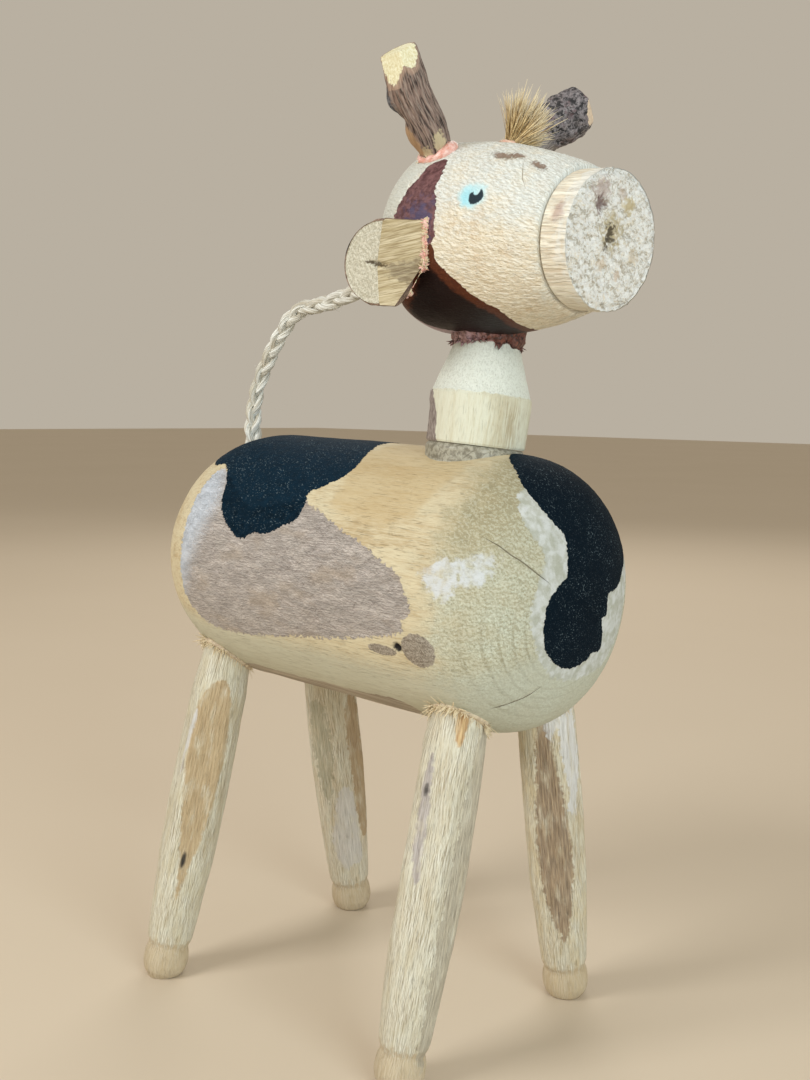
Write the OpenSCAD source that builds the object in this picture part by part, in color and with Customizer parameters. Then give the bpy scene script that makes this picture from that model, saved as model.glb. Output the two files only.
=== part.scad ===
// Carved wooden animal on four turned legs: a cow-like body with a short neck,
// a turned head, twig horns, split-branch ears, a fibre forelock and a rope tail.
// +X is the way the animal faces, +Y is its left, +Z is up, and the feet stand on Z = 0.
// The origin is below the middle of the whole figure.

/* [Body] */
// Length of the turned body
body_len = 136; // [120:1:150]
// Diameter of the body's straight middle
body_d = 70; // [64:1:76]
// Length of the rounded chest end
chest_cap = 27.5; // [22:0.5:34]
// Length of the rounded rump end
rump_cap = 35.5; // [28:0.5:40]
// Height of the body's axis above the floor
body_z = 120; // [114:1:126]
// How far the body leans down at the chest, in degrees
body_tilt = 1.8; // [0:0.2:3]

/* [Legs] */
// Thickest diameter of a leg
leg_d = 16.6; // [14:0.2:18]
// Diameter of the tenon that is glued in the body
leg_tenon_d = 10; // [8:0.5:11]
// Length of the tenon
leg_tenon_len = 14; // [10:1:18]
// Height at which the places of the leg tops are given
leg_top_z = 95; // [92:1:98]

/* [Neck] */
// Diameter of the neck at its widest
neck_d = 26; // [22:0.5:30]
// Diameter of the neck at its flat top
neck_top_d = 15.8; // [13:0.2:18]
// Height of the neck
neck_len = 26.6; // [24:0.2:28]
// Diameter of the dowels that pin the neck
dowel_d = 8; // [6:0.5:10]

/* [Head] */
// Diameter of the head at its widest
head_d = 46.8; // [42:0.2:50]
// From the widest place to the back of the head
head_back = 16.2; // [14:0.2:20]
// From the widest place to the snout's joint
head_front = 39.6; // [36:0.2:42]
// Diameter of the head where the snout joins it
head_nose_d = 33; // [30:0.5:35]
// Diameter of the snout
snout_d = 31.4; // [28:0.2:33]
// Length of the snout
snout_len = 8; // [6:0.5:10]
// How far the head turns to its right, in degrees
head_turn = 7.3; // [0:0.1:9]
// How far the nose hangs down, in degrees
head_nod = 5.3; // [0:0.1:8]

/* [Horns and ears] */
// Diameter of the right horn, a plain twig
right_horn_d = 9.4; // [8:0.2:11]
// Length of the right horn outside the head
right_horn_len = 25; // [18:0.5:27]
// Diameter of the left horn's thin lower half
left_horn_d = 7.8; // [6:0.2:9]
// Diameter of the left horn's knotty upper half
left_horn_tip_d = 12.8; // [10:0.2:14]
// Length of the left horn outside the head
left_horn_len = 25.5; // [18:0.5:27]
// Diameter of the branch that an ear is cut from
ear_d = 20.2; // [18:0.2:22]
// Length of an ear outside the head, along its bark
ear_len = 18; // [15:0.5:20]

/* [Tail] */
// Diameter of the plaited tail rope
rope_d = 4.2; // [4:0.1:5]

/* [Hidden] */
$fn = 96;

// Glue line between two pieces that are glued face to face
gap = 0.05;
// How far a bead of glue stands out from the pieces that it joins
bead = 1.5;
// How round the body's ends are: 2 is an ellipse, more is squarer
chest_round = 2.4;
rump_round = 2.3;
skull_round = 2.1;
// Steps in each rounded end
cap_steps = 12;

// Where the head's widest place is, from the middle of the body's length
head_x = 26.4;
head_z = 206.8;
nose_dir = [cos(head_turn) * cos(head_nod), -sin(head_turn) * cos(head_nod), -sin(head_nod)];
snout_end = head_front + snout_len;
// The snout's foremost point, from the middle of the body's length
nose_reach = head_x + snout_end * nose_dir.x + snout_d / 2 * sqrt(1 - pow(nose_dir.x, 2));
// The body's middle is set back so that rump and snout reach equally far
body_x = (body_len / 2 - nose_reach) / 2;
body_mid = [body_x, 0, body_z];
head_mid = [body_x + head_x, 0, head_z];

// Leg tops and feet, from the body's middle: [x, y] at leg_top_z, [x, y] on the floor
FRONT_RIGHT = [[43, -18], [37.6, -34]];
FRONT_LEFT = [[42, 18], [42.6, 34]];
REAR_RIGHT = [[-41.6, -19], [-51, -36]];
REAR_LEFT = [[-40.5, 19], [-42.8, 36]];
// A leg's half section: share of the thickest radius, height along the leg
LEG_SECTION = [[0.36, -3], [0.54, 0], [0.7, 1.6], [0.77, 4], [0.75, 7], [0.66, 9.2],
               [0.76, 11], [0.84, 20], [0.95, 37], [1, 53], [0.98, 70], [0.93, 84],
               [0.85, 92], [0.75, 108]];
floor_cut = 60;

// The neck's foot, from the body's middle, and the way that it leans
neck_foot = [body_x + 31.4, 0, 155.3];
neck_dir = [0.06, 0.09, 1] / norm([0.06, 0.09, 1]);
neck_edge = 13.4;
neck_foot_d = neck_d - 0.7;
neck_top = neck_foot + neck_len * neck_dir;
dowel_depth = 14;
socket_spare = 0.4;

// Places on the head, in the head's own axes: a root on its skin and a direction
right_horn_root = [1.4, -13.1, 19.3];
right_horn_dir = [-0.04, -0.57, 0.82];
left_horn_root = [1.4, 13.1, 19.3];
left_horn_dir = [0.32, 0.63, 0.74];
horn_peg_d = 5;
horn_peg_len = 7;
// Shares of a horn's length where its shaft ends and where its tip starts to narrow
horn_shaft = 0.4;
horn_shoulder = 0.8;
// Share of the tip's radius that is left at its end, and how deep the foot starts
horn_end = 0.6;
horn_root = 3;
right_ear_root = [5.8, -21.8, -7.9];
right_ear_dir = [-0.785, -0.62, -0.03];
ear_peg_d = 6;
ear_peg_len = 8;
// How far the split face lies in front of the ear's peg, and the slope of its two flats
ear_pith = 3.5;
ear_slope = 6;
// The slanting cut at an ear's tip: how far down the face it starts, and its slope
ear_bevel_len = 10;
ear_bevel = 45;
// Where an ear's sawn root lies along its peg, and how far its lower half is skewed
ear_root_z = -3;
ear_skew = 32;
forelock_root = [12.7, 0, 22.8];
forelock_dir = [0.15, 0.25, 1];
forelock_len = 12.5;
forelock_peg = 4;
forelock_root_d = 3.2;
forelock_tip_d = 11;

// The tail's route, from the middle of the body's length: up out of its hole in the
// rump, forward in an arch over the back, and level behind the head
TAIL = [[-52.5, 0, 145], [-52.4, 0, 149], [-52.3, 0, 153], [-52.3, 0, 157], [-52, 0, 161.5],
        [-51, 0, 167], [-49, 0, 172.3], [-46, 0, 177.2], [-42.8, 0, 182], [-39.2, 0, 186.4],
        [-35.6, 0, 190], [-31, 0, 192.2], [-25, 0, 192.8], [-19, 0, 193.8], [-13, 0, 195.2],
        [-7.5, 0, 196.2]];
rope_sides = 10;
tail_exit = [body_x - 52.3, 0, 153.6];
tail_tip = [body_x, 0, 0] + TAIL[len(TAIL) - 1];
tail_hole_r = rope_d / 2 + 0.3;
knot_d = 6.4;
tuft_len = 7;

// Radius of a rounded end at the share u of its length
function round_off(u, k) = pow(max(0, 1 - pow(u, k)), 1 / k);
// Half section of a rounded end, from its pole (u = 1) to its full radius (u = 0)
function cap(pole, length, r, k) =
    [for (i = [0:cap_steps]) let (u = cos(90 * i / cap_steps))
        [r * round_off(u, k), pole + length * (1 - u)]];
function reversed(list) = [for (i = [len(list) - 1:-1:0]) list[i]];

// Stands what is drawn along +Z at the point p, along the direction d
module along(p, d) {
    translate(p) rotate([0, acos(d.z / norm(d)), atan2(d.y, d.x)]) children();
}

// ---------------------------------------------------------------- body

module body_shape(grow = 0) {
    half = body_len / 2 + grow;
    r = body_d / 2 + grow;
    rump = cap(-half, rump_cap + grow, r, rump_round);
    chest = reversed(cap(half, -(chest_cap + grow), r, chest_round));
    translate(body_mid) rotate([0, 90 + body_tilt, 0])
        rotate_extrude() polygon(concat(rump, chest));
}

module body() {
    color("burlywood") difference() {
        body_shape();
        for (leg = [FRONT_RIGHT, FRONT_LEFT, REAR_RIGHT, REAR_LEFT])
            leg_tenon(leg, gap, socket_spare);
        neck_dowel_shape(gap, socket_spare);
        along([tail_exit.x, 0, TAIL[0].z - socket_spare], [0, 0, 1])
            cylinder(r = tail_hole_r, h = 20);
    }
}

// ---------------------------------------------------------------- legs

function leg_foot(leg) = [body_x + leg[1].x, leg[1].y, 0];
function leg_dir(leg) =
    let (d = [leg[0].x - leg[1].x, leg[0].y - leg[1].y, leg_top_z]) d / norm(d);

module leg_shape(leg, grow = 0) {
    r = leg_d / 2;
    side = [for (p = LEG_SECTION) [p.x * r + grow, p.y]];
    top = side[len(side) - 1].y;
    along(leg_foot(leg), leg_dir(leg))
        rotate_extrude() polygon(concat([[0, side[0].y]], side, [[0, top]]));
}

module leg_tenon(leg, grow = 0, deeper = 0) {
    along(leg_foot(leg) + leg_dir(leg) * (leg_top_z - 6), leg_dir(leg))
        cylinder(r = leg_tenon_d / 2 + grow, h = leg_tenon_len + 6 + deeper);
}

module leg(leg) {
    color("wheat") difference() {
        union() {
            difference() {
                leg_shape(leg);
                body_shape(gap);
            }
            leg_tenon(leg);
        }
        translate([-100, -100, -floor_cut]) cube([200, 200, floor_cut]);
    }
}

module leg_glue(leg) {
    color("tan") difference() {
        intersection() {
            leg_shape(leg, bead);
            body_shape(bead);
        }
        body_shape(gap);
        leg_shape(leg, gap);
    }
}

module front_right_leg() { leg(FRONT_RIGHT); }
module front_left_leg() { leg(FRONT_LEFT); }
module rear_right_leg() { leg(REAR_RIGHT); }
module rear_left_leg() { leg(REAR_LEFT); }
module front_right_leg_glue() { leg_glue(FRONT_RIGHT); }
module front_left_leg_glue() { leg_glue(FRONT_LEFT); }
module rear_right_leg_glue() { leg_glue(REAR_RIGHT); }
module rear_left_leg_glue() { leg_glue(REAR_LEFT); }

// ---------------------------------------------------------------- neck

module neck_shape(grow = 0) {
    along(neck_foot, neck_dir) rotate_extrude() polygon([
        [0, -grow], [neck_foot_d / 2 + grow, -grow], [neck_d / 2 + grow, neck_edge - 2],
        [neck_d / 2 - 0.4 + grow, neck_edge], [neck_top_d / 2 + grow, neck_len + grow],
        [0, neck_len + grow]]);
}

module neck_dowel_shape(grow = 0, deeper = 0) {
    along(neck_foot - neck_dir * (dowel_depth + deeper), neck_dir)
        cylinder(r = dowel_d / 2 + grow, h = 1.7 * dowel_depth + 2 * deeper);
}

module head_dowel_shape(grow = 0, deeper = 0) {
    along(neck_top - neck_dir * (0.7 * dowel_depth + deeper), neck_dir)
        cylinder(r = dowel_d / 2 - 1 + grow, h = 1.7 * dowel_depth + 2 * deeper);
}

module neck() {
    color("beige") difference() {
        neck_shape();
        neck_dowel_shape(gap, socket_spare);
        head_dowel_shape(gap, socket_spare);
    }
}

module neck_dowel() { color("peru") neck_dowel_shape(); }
module head_dowel() { color("peru") head_dowel_shape(); }

// The bed of glue that levels the round back under the neck's flat foot
module neck_glue() {
    color("darkkhaki") difference() {
        along(neck_foot - neck_dir * 8, neck_dir)
            cylinder(d = neck_foot_d + 0.6, h = 8 - gap);
        body_shape(gap);
        neck_dowel_shape(gap, socket_spare);
    }
}

// The dark collar of fibre and glue between neck and head
module head_glue() {
    color("maroon") difference() {
        along(neck_top - neck_dir * 1.2, neck_dir)
            cylinder(d = neck_top_d + 2.4, h = 6);
        head_shape(gap);
        neck_shape(gap);
        head_dowel_shape(gap, socket_spare);
    }
}

// ---------------------------------------------------------------- head

// Draws in the head's own axes: X to the nose, Y to its left, Z up
module in_head() {
    translate(head_mid) rotate([0, head_nod, -head_turn]) children();
}

module head_shape(grow = 0) {
    back = cap(-head_back - grow, head_back + grow, head_d / 2 + grow, skull_round);
    cheek = [for (i = [1:10]) let (t = i / 10)
        [head_d / 2 - (head_d - head_nose_d) / 2 * pow(t, 2.2) + grow, head_front * t]];
    in_head() rotate([0, 90, 0])
        rotate_extrude() polygon(concat(back, cheek, [[0, head_front]]));
}

module peg(root, dir, d, length, grow = 0) {
    in_head() along(root - dir / norm(dir) * (length + 4 * grow), dir)
        cylinder(r = d / 2 + grow, h = length + 5);
}

module snout_shape(grow = 0) {
    spigot = snout_d * 0.2 + grow;
    in_head() rotate([0, 90, 0]) rotate_extrude() polygon([
        [0, head_front - 7 - 4 * grow], [spigot, head_front - 7 - 4 * grow],
        [spigot, head_front + gap], [snout_d / 2 - 0.4, head_front + gap],
        [snout_d / 2, head_front + 2.5], [snout_d / 2, snout_end], [0, snout_end]]);
}

module head() {
    color("antiquewhite") difference() {
        head_shape();
        snout_shape(gap);
        head_dowel_shape(gap, socket_spare);
        peg(right_horn_root, right_horn_dir, horn_peg_d, horn_peg_len, gap);
        peg(left_horn_root, left_horn_dir, horn_peg_d, horn_peg_len, gap);
        for (side = [-1, 1])
            peg(on_side(right_ear_root, side), on_side(right_ear_dir, side),
                ear_peg_d, ear_peg_len, gap);
        peg(forelock_root, forelock_dir, forelock_root_d, forelock_peg, gap);
    }
}

module snout() { color("linen") snout_shape(); }

// ---------------------------------------------------------------- horns

// A twig: a thin foot, the shaft, and a pared or knotty tip
module horn_shape(root, dir, foot_d, mid_d, tip_d, length, grow = 0) {
    in_head() along(root, dir) rotate_extrude() polygon([
        [0, -horn_root], [foot_d / 2 + grow, -horn_root],
        [mid_d / 2 + grow, horn_shaft * length], [tip_d / 2 + grow, horn_shoulder * length],
        [horn_end * tip_d / 2 + grow, length], [0, length]]);
}

module right_horn_shape(grow = 0) {
    horn_shape(right_horn_root, right_horn_dir, right_horn_d - 0.8, right_horn_d,
               right_horn_d, right_horn_len, grow);
}

module left_horn_shape(grow = 0) {
    horn_shape(left_horn_root, left_horn_dir, left_horn_d, left_horn_d,
               left_horn_tip_d, left_horn_len, grow);
}

module right_horn() {
    color("rosybrown") {
        difference() {
            right_horn_shape();
            head_shape(gap);
        }
        peg(right_horn_root, right_horn_dir, horn_peg_d, horn_peg_len);
    }
}

module left_horn() {
    color("dimgray") {
        difference() {
            left_horn_shape();
            head_shape(gap);
        }
        peg(left_horn_root, left_horn_dir, horn_peg_d, horn_peg_len);
    }
}

module right_horn_glue() {
    color("salmon") difference() {
        intersection() {
            right_horn_shape(bead);
            head_shape(bead);
        }
        head_shape(gap);
        right_horn_shape(gap);
    }
}

module left_horn_glue() {
    color("salmon") difference() {
        intersection() {
            left_horn_shape(bead);
            head_shape(bead);
        }
        head_shape(gap);
        left_horn_shape(gap);
    }
}

// ---------------------------------------------------------------- ears

// A place or direction of the right ear, carried over to the side that it is on:
// -1 for the animal's right and 1 for its left
function on_side(v, side) = [v.x, -side * v.y, v.z];

// Draws an ear along +Z, with its cut face towards +X
module at_ear(side) {
    in_head() along(on_side(right_ear_root, side), on_side(right_ear_dir, side))
        rotate([0, 0, -side * 90]) children();
}

// A short piece of split branch: two flats meet in a valley along the pith, a slanting
// cut bares the end grain at the tip, and the root is sawn off askew below the pith
module ear_shape(side, grow = 0) {
    big = 60;
    at_ear(side) difference() {
        translate([ear_pith, 0, ear_root_z - grow])
            cylinder(r = ear_d / 2 + grow, h = ear_len + big / 2);
        for (turn = [-1, 1])
            translate([ear_pith + grow, 0, -10]) rotate([0, 0, -turn * ear_slope])
                translate([0, turn > 0 ? -0.01 : 0.01 - big, 0]) cube(big);
        translate([ear_pith, 0, ear_len - ear_bevel_len + grow])
            rotate([0, ear_bevel, 0]) translate([-big, -big / 2, 0]) cube([2 * big, big, big]);
        translate([0, 0, ear_root_z - grow])
            rotate([side * ear_skew, 0, 0]) translate([-big / 2, -big / 2, -big]) cube(big);
    }
}

module ear(side) {
    color("tan") {
        difference() {
            ear_shape(side);
            head_shape(gap);
        }
        peg(on_side(right_ear_root, side), on_side(right_ear_dir, side),
            ear_peg_d, ear_peg_len);
    }
}

// The glue lies along the ear's root, on the head's skin
module ear_glue(side) {
    color("lightpink") difference() {
        intersection() {
            ear_shape(side, bead);
            head_shape(bead);
        }
        head_shape(gap);
        ear_shape(side, gap);
    }
}

module right_ear() { ear(-1); }
module left_ear() { ear(1); }
module right_ear_glue() { ear_glue(-1); }
module left_ear_glue() { ear_glue(1); }

// ---------------------------------------------------------------- forelock

module forelock() {
    color("khaki") in_head() along(forelock_root, forelock_dir) {
        translate([0, 0, -forelock_peg])
            cylinder(d = forelock_root_d, h = forelock_peg + 1);
        translate([0, 0, 1])
            cylinder(d1 = forelock_root_d, d2 = forelock_tip_d, h = forelock_len - 1);
    }
}

module forelock_glue() {
    color("peachpuff") difference() {
        intersection() {
            in_head() along(forelock_root - [0, 0, 3], forelock_dir)
                cylinder(d = forelock_root_d + 2 * bead, h = 10);
            head_shape(bead / 2);
        }
        head_shape(gap);
        in_head() along(forelock_root - [0, 0, forelock_peg], forelock_dir)
            cylinder(d = forelock_root_d + 2 * gap, h = 20);
    }
}

// ---------------------------------------------------------------- tail

// The direction of the tail's route at the point i
function tail_way(i) =
    let (last = len(TAIL) - 1, d = TAIL[min(i + 1, last)] - TAIL[max(i - 1, 0)]) d / norm(d);

// A tube with one ring of points round each point of the route
module tail_rope() {
    last = len(TAIL) - 1;
    across = [0, 1, 0];
    rings = [for (i = [0:last]) for (k = [0:rope_sides - 1])
        let (a = 360 * k / rope_sides, up = cross(tail_way(i), across))
            [body_x, 0, 0] + TAIL[i] + rope_d / 2 * (cos(a) * across + sin(a) * up)];
    walls = [for (i = [0:last - 1]) for (k = [0:rope_sides - 1])
        let (next = (k + 1) % rope_sides, here = i * rope_sides, there = here + rope_sides)
            [here + k, there + k, there + next, here + next]];
    foot = [for (k = [0:rope_sides - 1]) k];
    tip = [for (k = [rope_sides - 1:-1:0]) last * rope_sides + k];
    color("gainsboro") polyhedron(points = rings, faces = concat(walls, [foot, tip]));
}

// The knot at the tail's tip, and the loose ends beyond it
module tail_knot() {
    color("gainsboro") along(tail_tip, tail_way(len(TAIL) - 1)) rotate_extrude() polygon([
        [0, gap], [rope_d / 2, gap], [knot_d / 2, 1.6], [knot_d / 2, 3.6],
        [rope_d * 0.4, 5.4], [rope_d * 0.8, 5.4 + tuft_len], [0, 5.4 + tuft_len]]);
}

module tail_glue() {
    color("tan") difference() {
        intersection() {
            along([tail_exit.x, 0, tail_exit.z - 5], [0, 0, 1])
                cylinder(r = rope_d / 2 + bead, h = 10);
            body_shape(bead / 2);
        }
        body_shape(gap);
        along([tail_exit.x, 0, tail_exit.z - 6], [0, 0, 1]) cylinder(r = tail_hole_r, h = 12);
    }
}

body();
front_right_leg();
front_left_leg();
rear_right_leg();
rear_left_leg();
front_right_leg_glue();
front_left_leg_glue();
rear_right_leg_glue();
rear_left_leg_glue();
neck();
neck_dowel();
neck_glue();
head();
head_dowel();
head_glue();
snout();
right_horn();
left_horn();
right_horn_glue();
left_horn_glue();
right_ear();
left_ear();
right_ear_glue();
left_ear_glue();
forelock();
forelock_glue();
tail_rope();
tail_knot();
tail_glue();
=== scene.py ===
"""Looks of the carved wooden animal: worn turned wood with peeling paint, twig horns,
split-branch ears, a fibre forelock and a plaited tail. Lengths are in millimetres until a
mesh is made, and every mesh is in the CAD frame."""

import math

import bpy
import numpy as np
from mathutils import Matrix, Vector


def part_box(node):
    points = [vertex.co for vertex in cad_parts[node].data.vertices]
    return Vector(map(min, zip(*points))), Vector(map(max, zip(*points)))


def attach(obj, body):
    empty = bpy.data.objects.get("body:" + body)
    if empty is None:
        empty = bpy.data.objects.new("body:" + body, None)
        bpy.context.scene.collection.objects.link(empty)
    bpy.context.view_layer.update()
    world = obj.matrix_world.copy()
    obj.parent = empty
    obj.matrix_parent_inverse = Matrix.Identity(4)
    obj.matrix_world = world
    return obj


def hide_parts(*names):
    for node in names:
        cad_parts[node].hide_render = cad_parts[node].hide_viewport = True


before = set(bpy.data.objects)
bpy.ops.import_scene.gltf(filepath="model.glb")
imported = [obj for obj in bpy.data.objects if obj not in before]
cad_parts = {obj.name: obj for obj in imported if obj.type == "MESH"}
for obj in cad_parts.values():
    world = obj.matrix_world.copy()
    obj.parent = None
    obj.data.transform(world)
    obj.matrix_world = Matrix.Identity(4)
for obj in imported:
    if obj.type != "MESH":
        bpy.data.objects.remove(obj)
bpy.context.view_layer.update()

MM = 0.001


def box_mm(node):
    """Lowest and highest corner of a CAD node, in millimetres."""
    low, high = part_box(node)
    return np.array(low) / MM, np.array(high) / MM


def unit(v):
    v = np.asarray(v, float)
    return v / np.linalg.norm(v, axis=-1, keepdims=True)


class Place:
    """An origin with three axes, for drawing a piece where it lies."""

    def __init__(self, origin, along, hint):
        z = unit(along)
        x = unit(np.asarray(hint, float) - np.dot(hint, z) * z)
        self.origin = np.asarray(origin, float)
        self.axes = np.array([x, np.cross(z, x), z])

    def out(self, points):
        return self.origin + np.asarray(points, float) @ self.axes

    def turn(self, directions):
        return np.asarray(directions, float) @ self.axes

    def back(self, points):
        return (np.asarray(points, float) - self.origin) @ self.axes.T


# ------------------------------------------------------------------ sizes

# The body's middle, and how far its chest leans down
BODY_LOW, BODY_HIGH = box_mm("body")
BODY_X = (BODY_LOW[0] + BODY_HIGH[0]) / 2
BODY_Z = 120.0
BODY_TILT = math.radians(1.8)
BODY_HALF = 68.0
BODY_R = 35.0
CHEST_CAP, CHEST_ROUND = 27.5, 2.4
RUMP_CAP, RUMP_ROUND = 35.5, 2.3

LEG_R = 8.3
LEG_TOP_Z = 95.0
# A leg's half section: height along it, share of the thickest radius
LEG_HEIGHTS = [-3, 0, 1.6, 4, 7, 9.2, 11, 20, 37, 53, 70, 84, 92, 108]
LEG_SHARES = [0.36, 0.54, 0.7, 0.77, 0.75, 0.66, 0.76, 0.84, 0.95, 1, 0.98, 0.93, 0.85, 0.75]

NECK_FOOT = np.array([BODY_X + 31.4, 0, 155.3])
NECK_DIR = unit([0.06, 0.09, 1])
NECK_R, NECK_FOOT_R, NECK_TOP_R = 13.0, 12.65, 7.9
NECK_EDGE, NECK_LEN = 12.4, 26.6

HEAD_MID = np.array([BODY_X + 26.4, 0, 206.8])
HEAD_TURN, HEAD_NOD = math.radians(7.3), math.radians(5.3)
HEAD_R, HEAD_BACK, HEAD_FRONT, HEAD_NOSE_R = 23.4, 16.2, 39.6, 16.5
SKULL_ROUND = 2.1
SNOUT_R, SNOUT_END = 15.7, 47.6

# The side of the small pieces that faces the animal's front and left, where their
# angles start; the side a quarter turn before it faces the animal's front and right
SIDE_HINT = [0.76, 0.65, 0]

# The tail's route: up out of the rump, in an arch over the back, and level behind the head
TAIL = [[-52.5, 0, 145], [-52.4, 0, 149], [-52.3, 0, 153], [-52.3, 0, 157], [-52, 0, 161.5],
        [-51, 0, 167], [-49, 0, 172.3], [-46, 0, 177.2], [-42.8, 0, 182], [-39.2, 0, 186.4],
        [-35.6, 0, 190], [-31, 0, 192.2], [-25, 0, 192.8], [-19, 0, 193.8], [-13, 0, 195.2],
        [-7.5, 0, 196.2]]
TAIL_EXIT = np.array([BODY_X - 52.3, 0, 153.6])

BODY = Place([BODY_X, 0, BODY_Z], [math.sin(BODY_TILT), 0, math.cos(BODY_TILT)], [1, 0, 0])
NOSE = [math.cos(HEAD_TURN) * math.cos(HEAD_NOD), -math.sin(HEAD_TURN) * math.cos(HEAD_NOD),
        -math.sin(HEAD_NOD)]
HEAD_UP = [math.cos(HEAD_TURN) * math.sin(HEAD_NOD), -math.sin(HEAD_TURN) * math.sin(HEAD_NOD),
           math.cos(HEAD_NOD)]
HEAD = Place(HEAD_MID, HEAD_UP, NOSE)


# ------------------------------------------------------------------ camera

def camera():
    """Looks from the animal's front right, level with its back."""
    yaw, pitch, roll = math.radians(40.5), math.radians(6.43), math.radians(0.91)
    forward = np.array([-math.sin(yaw) * math.cos(pitch), math.cos(yaw) * math.cos(pitch),
                        -math.sin(pitch)])
    right = np.array([math.cos(yaw), math.sin(yaw), 0])
    up = np.cross(right, forward)
    right, up = (math.cos(roll) * right + math.sin(roll) * up,
                 math.cos(roll) * up - math.sin(roll) * right)
    data = bpy.data.cameras.new("camera")
    data.sensor_fit = "VERTICAL"
    data.sensor_height = 36
    data.lens = 39.4
    data.clip_start = 0.01
    holder = bpy.data.objects.new("camera", data)
    bpy.context.scene.collection.objects.link(holder)
    place = np.eye(4)
    place[:3, 0], place[:3, 1], place[:3, 2] = right, up, -forward
    place[:3, 3] = np.array([BODY_X + 214.2, -240.9, 164.8]) * MM
    holder.matrix_world = Matrix(place.tolist())
    bpy.context.scene.camera = holder


# ------------------------------------------------------------------ numbers

def lattice(cell, seed):
    """A fixed random value from -1 to 1 for each whole-number cell."""
    h = cell[..., 0] * 374761393 + cell[..., 1] * 668265263 + cell[..., 2] * 1274126177
    h = h + seed * 362437
    h = (h ^ (h >> 13)) * 1103515245
    h = (h ^ (h >> 16)) & 0xFFFFFF
    return h / 0x7FFFFF - 1


def noise(points, size, seed=0, octaves=3):
    """Smooth noise from -1 to 1, in lumps of that size."""
    q = np.asarray(points, float) / np.asarray(size, float)
    total, share, whole = 0.0, 1.0, 0.0
    for octave in range(octaves):
        base = np.floor(q).astype(np.int64)
        t = q - base
        t = t * t * (3 - 2 * t)
        value = 0.0
        for corner in np.ndindex(2, 2, 2):
            weight = np.prod(np.where(corner, t, 1 - t), axis=-1)
            value = value + weight * lattice(base + np.array(corner), seed + 7 * octave)
        total = total + share * value
        whole += share
        share *= 0.5
        q = q * 2.07 + 3.7
    return total / whole


def smooth(value, low, high):
    t = np.clip((value - low) / (high - low), 0, 1)
    return t * t * (3 - 2 * t)


def rounded(outline, steps=6):
    """A closed outline drawn smoothly through a few points."""
    p = np.array(outline, float)
    t = np.linspace(0, 1, steps, endpoint=False)[:, None, None]
    a, b, c, d = np.roll(p, 1, 0), p, np.roll(p, -1, 0), np.roll(p, -2, 0)
    curve = 0.5 * (2 * b + (c - a) * t + (2 * a - 5 * b + 4 * c - d) * t ** 2
                   + (3 * b - a - 3 * c + d) * t ** 3)
    return curve.transpose(1, 0, 2).reshape(-1, 2)


def depth_in(outline, points, reach=6.0):
    """How deep points lie inside a closed outline; negative outside it."""
    x, y = points[:, 0], points[:, 1]
    nearest = np.full(len(points), np.inf)
    within = np.zeros(len(points), bool)
    for p, q in zip(outline, np.roll(outline, -1, 0)):
        edge = q - p
        t = np.clip(((points - p) @ edge) / max(edge @ edge, 1e-9), 0, 1)
        nearest = np.minimum(nearest, np.linalg.norm(points - p - t[:, None] * edge, axis=1))
        if p[1] != q[1]:
            at = p[0] + (y - p[1]) / (q[1] - p[1]) * (q[0] - p[0])
            within ^= ((p[1] > y) != (q[1] > y)) & (x < at)
    return np.clip(np.where(within, nearest, -nearest), -reach, reach)


def near_line(start, end, points, width):
    """1 on a straight line between two places, falling to 0 at its width and its ends."""
    start, way = np.array(start, float), np.array(end, float) - np.array(start, float)
    t = np.clip(((points - start) @ way) / (way @ way), 0, 1)
    off = np.linalg.norm(points - start - t[..., None] * way, axis=-1)
    return np.exp(-(off / width) ** 2) * np.sin(np.pi * np.clip(t, 0.02, 0.98)) ** 0.3


# ------------------------------------------------------------------ shapes

class Shape:
    """Points, faces and what is painted on them, before they become a mesh."""

    def __init__(self, points, quads, tris, paint=None):
        self.points = points.reshape(-1, 3)
        self.quads = quads.reshape(-1, 4)
        self.tris = tris.reshape(-1, 3)
        self.paint = paint or {}

    def with_paint(self, **paint):
        self.paint.update(paint)
        return self


def joined(shapes):
    """Several shapes as one; a kind of paint that one of them lacks is 0 there."""
    starts = np.cumsum([0] + [len(s.points) for s in shapes])
    paint = {}
    for name in sorted({n for s in shapes for n in s.paint}):
        wide = max(np.ndim(s.paint[name]) for s in shapes if name in s.paint)
        blank = [np.zeros((len(s.points), 3) if wide == 2 else len(s.points)) for s in shapes]
        paint[name] = np.concatenate([s.paint.get(name, b) for s, b in zip(shapes, blank)])
    return Shape(np.concatenate([s.points for s in shapes]),
                 np.concatenate([s.quads + i for s, i in zip(shapes, starts)]),
                 np.concatenate([s.tris + i for s, i in zip(shapes, starts)]), paint)


def skin(rings):
    """A closed skin over rings of points (rings x sides x 3), with a point at each end."""
    m, n, _ = rings.shape
    ends = [rings[0].mean(0), rings[-1].mean(0)]
    i, k = np.meshgrid(np.arange(m - 1), np.arange(n), indexing="ij")
    here, there = i * n + k, i * n + (k + 1) % n
    quads = np.stack([here, there, there + n, here + n], -1)
    k = np.arange(n)
    first = np.stack([np.full(n, m * n), (k + 1) % n, k], -1)
    last = np.stack([np.full(n, m * n + 1), (m - 1) * n + k, (m - 1) * n + (k + 1) % n], -1)
    points = np.concatenate([rings.reshape(-1, 3), ends])
    return Shape(points, quads, np.concatenate([first, last]))


def over(values):
    """Values on rings x sides, with the means of the end rings for the two end points."""
    flat = values.reshape((-1,) + values.shape[2:])
    return np.concatenate([flat, [values[0].mean(0), values[-1].mean(0)]])


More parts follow.
